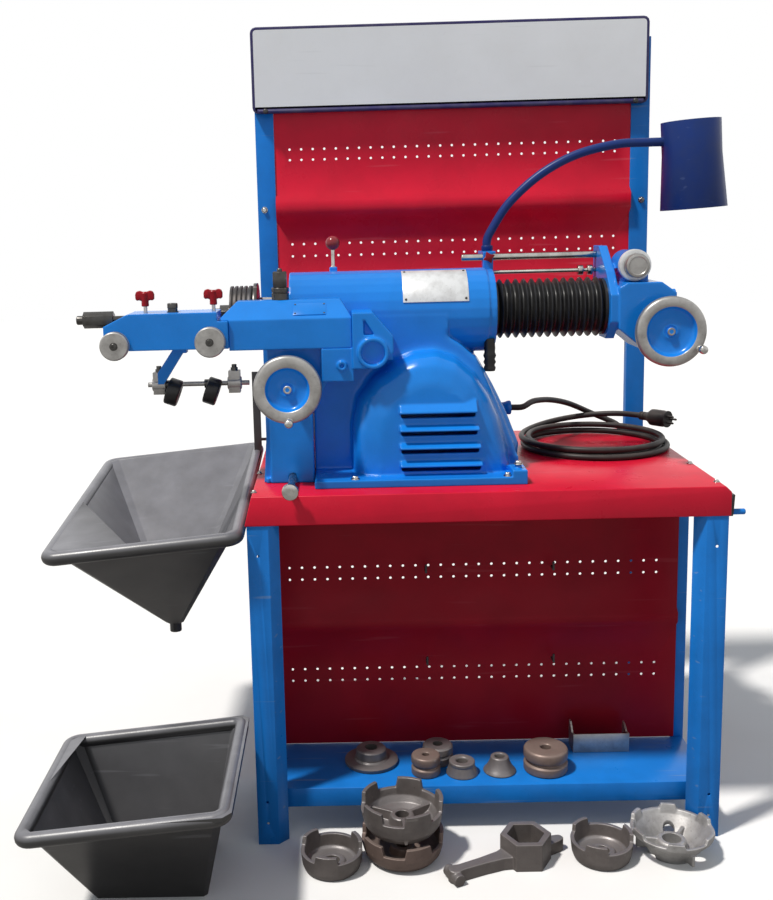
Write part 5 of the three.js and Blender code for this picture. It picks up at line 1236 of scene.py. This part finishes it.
# %% [markdown]
# ## Feed dial
# The feed rate dial is a white ringed disc with a cylindrical knob standing on it. Both are turned
# about one axis, a little above the feed wheel.

# %% Feed dial
feed_dial_axis = at(392, 0, SPINDLE_Z + 102)
dial_disc = turned("feed_dial_disc", [
    [267, 6.6], [251.7, 6.6], [251.7, 37.6], [250.5, 38.8], [238, 38.8], [236.4, 37.8], [235.8, 36],
    [235.8, 30],
], feed_dial_axis, axis="Y", sides=72)
finish(dial_disc, "feed_dial", plate_metal, 35, ("feed_dial",))
dial_knob = turned("feed_dial_knob", [
    [235.9, 28.6], [234.8, 29], [213.5, 29], [211, 28], [209.9, 26], [209.9, 22], [211.2, 20.5], [211.2, 6],
], feed_dial_axis, axis="Y", sides=72)
finish(dial_knob, "feed_dial", dull_aluminium)

# %% [markdown]
# ## Bellows
# The bellows keep chips off the quill. They are one rubber tube with thirteen rounded ribs and a
# clamped cuff at each end.

# %% Bellows
BELLOWS_LEFT, BELLOWS_RIGHT, RIBS = 54.3, 328.7, 13
CUFF = 8
BORE = 53
RIB_RINGS = [
    (0.06, 62.4), (0.16, 64), (0.30, 69), (0.42, 72.6), (0.5, 73.8), (0.58, 72.6), (0.70, 69), (0.84, 64),
    (0.94, 62.4),
]

rib_space = (BELLOWS_RIGHT - BELLOWS_LEFT - 2 * CUFF) / RIBS
outside = [[BELLOWS_LEFT, 66], [BELLOWS_LEFT, 70], [BELLOWS_LEFT + 7, 70], [BELLOWS_LEFT + CUFF, 67]]
for number in range(RIBS):
    start = BELLOWS_LEFT + CUFF + number * rib_space
    outside += [[start + share * rib_space, radius] for share, radius in RIB_RINGS]
outside += [[BELLOWS_RIGHT - CUFF, 67], [BELLOWS_RIGHT - 7, 70], [BELLOWS_RIGHT, 70], [BELLOWS_RIGHT, 66]]
tube = [*outside, [BELLOWS_RIGHT, BORE], [BELLOWS_LEFT, BORE], outside[0]]
bellows = turned("bellows_made", tube, at(0, SPINDLE_Y, SPINDLE_Z), axis="X", sides=72)
finish(bellows, "bench", soft_rubber, 50, ("bellows",))
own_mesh(bellows)

# %% [markdown]
# ## Lamp
# A painted gooseneck rises from the arm on the casting and carries a round shade. The neck is a
# curve with a round section, turned into a mesh; the shade is a turned shell that opens below.

# %% Gooseneck and shade
NECK_X, NECK_Y, NECK_FOOT = 61.6, 450, 1404.4
SHADE_X, NECK_TOP = 510.7, 1669
NECK_SHARES = [
    (0, 0), (0, 0.1), (0.03, 0.21), (0.13, 0.46), (0.305, 0.72), (0.51, 0.9), (0.74, 0.99), (0.93, 1), (1, 1),
]


def as_mesh(curve):
    take(curve)
    bpy.ops.object.convert(target="MESH")
    return bpy.context.active_object


neck_points = [
    at(NECK_X + over * (SHADE_X - NECK_X), NECK_Y, NECK_FOOT + up * (NECK_TOP - NECK_FOOT))
    for over, up in NECK_SHARES
]
clear_selection()
bpy.ops.curve.primitive_bezier_curve_add()
neck = newest("gooseneck_made")
lead_through(neck, through(neck_points, 5), "AUTO")
round_section(neck, 11.3, 6)
neck = as_mesh(neck)
ferrule = turned("neck_ferrule", [
    [NECK_FOOT, 11.4], [NECK_FOOT, 14.4], [NECK_FOOT + 1, 15], [1416, 15], [1417.6, 13.6], [1417.6, 11.4],
], at(NECK_X, NECK_Y, 0), axis="Z", sides=40)
finish(join_pieces("gooseneck_made", [neck, ferrule]), "gooseneck", navy_enamel, 40, ("lamp_gooseneck",))
fabricated("lamp_shade", navy_enamel, 0.9, smooth=40)
fabricated("lamp_bulb", frosted_glass, 0.8, smooth=40)

# %% [markdown]
# ## Chip bins
# The bins are moulded in thick black plastic, tapering to the bottom, with a fat rolled rim. The
# hopper is the solid's own copy with its flat rim drawn in, and the roll is a closed curve laid over
# it: a rectangle with round corners, which follows the rim's tilt.

# %% The bins' rims
RIM_ROLL = 16.5
RIM_CORNER = 24


def rim_outline(half_x, half_y):
    """The middle line of a roll: a rectangle with round corners, in steps of 15 degrees."""
    line = []
    for side_x, side_y, start in ((1, 1, 0), (-1, 1, 90), (-1, -1, 180), (1, -1, 270)):
        for step in range(0, 91, 15):
            turn = math.radians(start + step)
            x = side_x * (half_x - RIM_CORNER) + RIM_CORNER * math.cos(turn)
            y = side_y * (half_y - RIM_CORNER) + RIM_CORNER * math.sin(turn)
            line.append((x, y))
    return line


def bezier_circle(name, radius):
    clear_selection()
    bpy.ops.curve.primitive_bezier_circle_add(radius=radius)
    return newest(name)


def rolled_rim(name, places):
    """A round roll along a closed line of places."""
    section = bezier_circle("rim_section", RIM_ROLL * MM)
    section.data.resolution_u = 5
    rim = bezier_circle(name, 1)
    lead_through(rim, places, "VECTOR")
    rim.data.dimensions = "3D"
    rim.data.twist_mode = "Z_UP"
    rim.data.bevel_mode = "OBJECT"
    rim.data.bevel_object = section
    rim.data.resolution_u = 1
    rim = as_mesh(rim)
    bpy.data.objects.remove(section)
    return rim


# %% [markdown]
# The hanging bin is held by a strap at its right end, which keeps its shape while the flat rim is
# drawn in. Both bins' rims rise a little to the right, and the hanging one also to the back.

# %% Chip bins
RIM_INWARD = 16


def moulded_bin(node, middle, width, depth, rise_x, rise_y, lip):
    """A hopper and its roll about a middle in mm. The rim rises by so many mm over the width and depth."""
    hopper = copy_of_solid(node)
    half_x, half_y = width / 2 + lip, depth / 2 + lip
    centre = at(*middle)

    def on_flat_rim(vertex):
        along, back, up = (vertex.co - centre) / MM
        on_strap = node == "hanging_bin" and along > 190 and 286 < back < 300
        inner_x, inner_y = width / 2 + lip * 0.7, depth / 2 + lip * 0.7
        return up <= rise_y and not on_strap and (abs(along) > inner_x or abs(back) > inner_y)

    choose(hopper, "VERT", on_flat_rim)
    drawn_in = (1 - RIM_INWARD / half_x, 1 - RIM_INWARD / half_y, 1)
    bpy.ops.transform.resize(value=drawn_in, center_override=centre)
    out_of_edit()
    round_edges(hopper, 3.0, segments=3, angle=20)
    finish(hopper, body_of_node[node], bin_plastic, 40, (node,))

    x, y, z = middle
    rim_places = [
        at(x + a, y + b, z + rise_x * a / width + rise_y * b / depth - RIM_ROLL + 3)
        for a, b in rim_outline(half_x - RIM_ROLL, half_y - RIM_ROLL)
    ]
    finish(rolled_rim(node + "_rim", rim_places), body_of_node[node], bin_plastic, 60)


moulded_bin("hanging_bin", (-797.3, 349, 802), 436, 744, 40, 57, 19)
moulded_bin("floor_bin", (-805, -138, 272), 424, 450, 42, -7, 18)

# %% [markdown]
# ## Loose adapters
# The cups and bells that hold drums and discs on the arbor are rough castings: a turned bowl with a
# hub and bore, blunt tabs standing up from its rim, webs inside and, on the light one, windows. The
# bowl is revolved, its rim is pulled up where a tab stands, and a voxel skin rounds it all as sand
# moulding does. They stand loose on the floor, two of them nested, and the smaller ones on the shelf.


# %% Bowls with tabs, webs and windows
def around(cx, cy, degrees, points):
    """Points in mm turned by an angle and moved to a centre."""
    turn = math.radians(degrees)
    cos, sin = math.cos(turn), math.sin(turn)
    return [(cx + a * cos - b * sin, cy + a * sin + b * cos) for a, b in points]


def raise_tabs(bowl, centre, rim, rise, tabs, tab_width, start):
    """Pulls up the rim, from a height in metres, where a tab of so many degrees stands."""

    def on_tab(vertex):
        if vertex.co.z < rim:
            return False
        way = math.degrees(math.atan2(vertex.co.y - centre.y, vertex.co.x - centre.x))
        gaps = [abs((way - start - 360 * i / tabs + 180) % 360 - 180) for i in range(tabs)]
        return min(gaps) < tab_width / 2

    choose(bowl, "VERT", on_tab)
    bpy.ops.transform.translate(value=(0, 0, rise * MM))
    out_of_edit()


def cast_bowl(node, place, section, rim, tab, tabs, tab_width, start, look, web_box=None, windows=()):
    """A bowl at a place in mm. A web box holds the webs' inner and outer reach, ends and thickness."""
    x, y, base = place
    rings = [[base + along, radius] for along, radius in section]
    bowl = turned(node + "_made", rings, at(x, y, 0), axis="Z", sides=120)
    raise_tabs(bowl, at(x, y, 0), (base + rim - 0.6) * MM, tab, tabs, tab_width, start)
    solids = [bowl]
    if web_box:
        inner, outer, low, high, thick = web_box
        corners = [(inner, -thick / 2), (outer, -thick / 2), (outer, thick / 2), (inner, thick / 2)]
        for i in range(3):
            outline = around(x, y, start + 30 + 120 * i, corners)
            solids.append(drawn_out("web", outline, base + low, base + high, axis="Z"))
    bowl = join_pieces(node + "_made", solids)
    skinned(bowl, 1.7)
    for degrees in windows:
        (spot,) = around(x, y, degrees, [(WINDOW_REACH, 0)])
        rod = [[base - 5, WINDOW_RADIUS], [base + 60, WINDOW_RADIUS]]
        cut_out(bowl, turned("window", rod, at(*spot, 0), axis="Z", sides=28))
    apply_modifier(bowl, "SMOOTH", factor=0.5, iterations=7)
    apply_modifier(bowl, "DECIMATE", ratio=0.5)
    finish(bowl, body_of_node[node], look, 180, (node,))


# %% [markdown]
# Each section is a list of (height, radius) round the wall: out along the bottom, up the outside, in
# at the rim and down the inside to the hub and bore. The upper bell of the stack is a taller one.

# %% Cups and bells
WINDOW_REACH, WINDOW_RADIUS = 58, 13
CUP = [
    (0, 18), (0, 60), (5, 65), (16, 69), (46, 72.5), (46, 63), (18, 60), (13, 54), (12, 34), (18, 30),
    (18, 18), (0, 18),
]
BELL = [
    (0, 20), (0, 70), (6, 80), (18, 90), (34, 95), (46, 97.5), (46, 88), (32, 84), (20, 74), (13, 56),
    (11, 32), (28, 28), (30, 24), (30, 16), (0, 16), (0, 20),
]
TALL_BELL = [(height * 1.22, radius) for height, radius in BELL]
LIGHT_BELL = [
    (0, 26), (0, 52), (12, 58), (40, 80), (54, 94), (62, 96.5), (62, 88), (52, 82), (36, 68), (16, 50),
    (10, 38), (32, 34), (36, 30), (36, 22), (0, 22), (0, 26),
]

cast_bowl("left_cup", (-377, -93, 0), CUP, 46, 17, 3, 44, 140, dark_iron)
cast_bowl("right_cup", (257, -72, 0), CUP, 46, 17, 3, 44, 128, dark_iron)
cast_bowl("lower_bell", (-209, -50, 0), BELL, 46, 22, 5, 38, 3, rusty_iron)
cast_bowl("upper_bell", (-209, -50, 69), TALL_BELL, 56, 24, 5, 40, 3, dark_iron, (22, 88, 8, 38, 8))
cast_bowl(
    "alloy_bell", (425, -58, 0), LIGHT_BELL, 62, 11, 6, 24, 20, light_alloy, (28, 82, 8, 34, 7),
    windows=(80, 200, 320),
)

# %% [markdown]
# The small adapters on the shelf are turned. Their sections are shares of the height and of half the
# width that their solids' boxes have, so each fills the place of its solid.

# %% Small adapters
CONE_SHARES = [
    (0, .3), (0, .96), (.03, 1), (.10, .985), (.70, .78), (.76, .81), (.95, .80), (1, .74), (1, .42),
    (.9, .36), (.3, .3),
]
FLARED_SHARES = [
    (0, .3), (0, .96), (.04, 1), (.10, .98), (.22, .86), (.45, .72), (.72, .60), (.94, .55), (1, .49),
    (1, .33), (.9, .28), (.3, .28),
]
GROOVED_SHARES = [
    (0, .25), (0, .93), (.05, 1), (.34, 1), (.39, .95), (.43, .85), (.50, .84), (.55, .93), (.60, 1),
    (.88, 1), (.95, .97), (1, .90), (1, .30), (.96, .24), (.3, .24),
]

for node, shares, look in (
    ("short_cone", CONE_SHARES, dark_iron), ("tall_cone", FLARED_SHARES, dark_iron),
    ("grooved_adapter", GROOVED_SHARES, rusty_iron), ("double_adapter", GROOVED_SHARES, rusty_iron),
):
    low, high = (Vector(corner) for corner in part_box(node))
    middle, size = (low + high) / 2, (high - low) / MM
    section = [[up * size.z, out * size.x / 2] for up, out in shares]
    adapter = turned(node + "_made", section, (middle.x, middle.y, low.z), axis="Z", sides=72)
    round_edges(adapter, 0.8, angle=28)
    finish(adapter, body_of_node[node], look, 40, (node,))

# %% [markdown]
# The wrench is forged: a hexagonal ring with a long arm that tapers to a round bar across its end, and
# a short arm opposite. Its parts are drawn out, joined, and melted together by a voxel skin.

# %% Hexagonal wrench
WRENCH_X, WRENCH_Y, ARM_TURN = 78, -77, 25
ARM_LOW, ARM_HIGH = 0.5, 31
LONG_ARM = [(-48, -24), (-70, -17), (-120, -13), (-176, -12), (-190, -15.5), (-202, -13), (-207, -5)]
SHORT_ARM = [(46, 24), (62, 17), (86, 14), (100, 10), (104, 4)]


def hexagon(name, radius, low, high):
    corners = [around(WRENCH_X, WRENCH_Y, turn, [(radius, 0)])[0] for turn in range(0, 360, 60)]
    return drawn_out(name, corners, low, high, axis="Z")


def arm_of_wrench(name, half):
    """An arm from one half of its outline, which is mirrored across the arm's middle line."""
    outline = [*half, *[(a, -b) for a, b in reversed(half)]]
    return drawn_out(name, around(WRENCH_X, WRENCH_Y, ARM_TURN, outline), ARM_LOW, ARM_HIGH, axis="Z")


ring = hexagon("hex_wrench_made", 60, 0, 66)
cut_out(ring, hexagon("wrench_socket", 44, -5, 71))
arms = [arm_of_wrench("long_arm", LONG_ARM), arm_of_wrench("short_arm", SHORT_ARM)]
(arm_end,) = around(WRENCH_X, WRENCH_Y, ARM_TURN, [(-194, 0)])
clear_selection()
bpy.ops.mesh.primitive_cylinder_add(
    radius=14 * MM, depth=54 * MM, vertices=36, location=at(*arm_end, 14.6),
    rotation=(math.pi / 2, 0, math.radians(ARM_TURN)),
)
end_bar = newest("end_bar")
settle(end_bar)
wrench = join_pieces("hex_wrench_made", [ring, *arms, end_bar])
skinned(wrench, 2.0)
apply_modifier(wrench, "SMOOTH", factor=0.5, iterations=5)
apply_modifier(wrench, "DECIMATE", ratio=0.4)
finish(wrench, "hex_wrench", dark_iron, 180, ("hex_wrench",))

# %% [markdown]
# ## Things on the shelf
# On the shelf lie a dark disc, a second pair of stacked rings and a pressed bracket. They have no
# solids of their own, and ride on the bench.

# %% Disc, rings and bracket
SHELF = 119.2

disc = turned("shelf_disc", [
    [0, 62], [0, 66], [3, 68], [9, 68], [12, 62], [12, 44], [16, 40], [36, 38], [39, 35], [40, 30], [40, 16],
    [12, 16], [0, 20], [0, 62],
], at(-274, 180, SHELF), axis="Z", sides=64)
finish(disc, "bench", dark_iron)
stacked_rings = turned("shelf_rings", [
    [0, 35], [2, 38], [20, 39], [23, 37], [25, 34], [27, 37], [30, 39], [44, 38], [48, 34], [48, 13], [0, 13],
    [0, 35],
], at(-104, 176, SHELF), axis="Z", sides=56)
finish(stacked_rings, "bench", dark_iron)
bracket_parts = [block("shelf_bracket", (144, 4, 50), at(320, 208, SHELF + 25), 1)]
for x, top in ((248, 66), (387.5, 58)):
    bracket_parts.append(drawn_out("bracket_end", [(y, SHELF + up) for y, up in (
        (209.5, 0), (262, 0), (262, top), (248, top), (226, 46), (209.5, 50),
    )], x, x + 4.5, axis="X"))
finish(join_pieces("shelf_bracket", bracket_parts), "bench", dull_aluminium)

# %% [markdown]
# ## Hooks and a lead
# Bent hooks are stuck in the lower board, and a hook with a short rod is screwed to the right end of
# the apron. A black ribbed lead comes out behind the motor cover and ends under the barrel.

# %% Hooks and lead
for number, (x, z) in enumerate(((-123, 600), (202, 600), (-122, 352), (204, 352))):
    shank = turned("board_hook", [[0, 3], [29, 3], [30, 2]], at(x, 246, z), axis="Y", sides=16)
    tip = turned("board_hook_tip", [[0, 3], [20, 3], [21, 2]], at(x, 248.5, z - 1), axis="Z", sides=16)
    finish(join_pieces(f"board_hook_{number}", [shank, tip]), "bench", black_bolt, 40)
side_hook = drawn_out("side_hook", [
    (30, 842), (58, 842), (62, 800), (56, 788), (40, 788), (36, 800),
], 560.3, 578, axis="X")
round_edges(side_hook, 1.2)
finish(side_hook, "bench", black_bolt)
loom = turned("motor_lead_loom", [
    [0, 4], [0, 13], [8, 15], [14, 12], [22, 15.5], [29, 12.5], [38, 16], [46, 13], [56, 14], [80, 12],
    [80, 4],
], at(38, 230, 1118), axis="Z", sides=28)
finish(loom, "bench", soft_rubber, 50)
side_rod = turned("side_rod", [[578, 3], [578, 7], [606, 7], [608, 5]], at(0, 48, 797), axis="X", sides=28)
finish(side_rod, "bench", blue_sheet, 40)

# %% [markdown]
# ## Floor
# The machine stands on a pale floor that keeps its shadow. To the camera the floor is nearly white,
# but it throws less light than that on the machine, so the paint keeps its depth from below.

# %% Floor
clear_selection()
bpy.ops.mesh.primitive_plane_add(size=30, location=(0, 0, 0))
floor = newest("floor")
floor_paint = bpy.data.materials.new("floor_paint")
floor_paint.use_nodes = True
tree = floor_paint.node_tree
shader = tree.nodes["Principled BSDF"]
clouds = ramp(tree, noise(tree, 2.0, 5.0), 0.3, 0.7)
pale = blend_colour(tree, clouds, (0.90, 0.89, 0.88), (0.95, 0.945, 0.94))
seen_by = tree.nodes.new("ShaderNodeLightPath").outputs["Is Camera Ray"]
tree.links.new(blend_colour(tree, seen_by, (0.36, 0.35, 0.34), pale), shader.inputs["Base Color"])
shader.inputs["Roughness"].default_value = 0.85
bumpy(tree, shader, noise(tree, 60.0, 6.0), 0.08)
floor.data.materials.append(floor_paint)
print("floor:", [round(v, 1) for v in floor.dimensions])

# %% [markdown]
# ## Sky
# A broad soft sky lights the machine from all sides. What the camera, a reflection or a view through
# glass sees of it is plain white, at a strength of 1.

# %% Sky
world = bpy.context.scene.world or bpy.data.worlds.new("sky")
bpy.context.scene.world = world
world.use_nodes = True
sky = world.node_tree
sky.nodes.clear()


def background(colour, strength):
    node = sky.nodes.new("ShaderNodeBackground")
    node.inputs["Color"].default_value = (*colour, 1)
    node.inputs["Strength"].default_value = strength
    return node.outputs[0]


rays = sky.nodes.new("ShaderNodeLightPath").outputs
mixer = sky.nodes.new("ShaderNodeMixShader")
seen = math_node(sky, "MAXIMUM", rays["Is Camera Ray"], rays["Is Transmission Ray"])
sky.links.new(math_node(sky, "MAXIMUM", seen, rays["Is Glossy Ray"]), mixer.inputs["Fac"])
sky.links.new(background((0.86, 0.93, 1.0), 0.38), mixer.inputs[1])
sky.links.new(background((1, 1, 1), 1.0), mixer.inputs[2])
sky.links.new(mixer.outputs[0], sky.nodes.new("ShaderNodeOutputWorld").inputs["Surface"])
print("sky:", len(sky.nodes), "nodes")

# %% [markdown]
# ## Sun
# One large lamp from the upper left gives the shadows a side. Its wide angle makes their edges soft.

# %% Sun
sun_data = bpy.data.lights.new("high_sun", "SUN")
sun_data.energy = 3.0
sun_data.angle = math.radians(5)
sun_data.color = (1.0, 0.965, 0.91)
sun = bpy.data.objects.new("high_sun", sun_data)
bpy.context.scene.collection.objects.link(sun)
sun.rotation_mode = "QUATERNION"
sun.rotation_quaternion = Vector((-0.45, -0.27, 1.0)).to_track_quat("Z", "Y")
bpy.context.scene.view_settings.view_transform = "Standard"
print("sun:", sun_data.energy)

# %% Finish
for master in (bolt_master, screw_master):
    bpy.data.objects.remove(master)
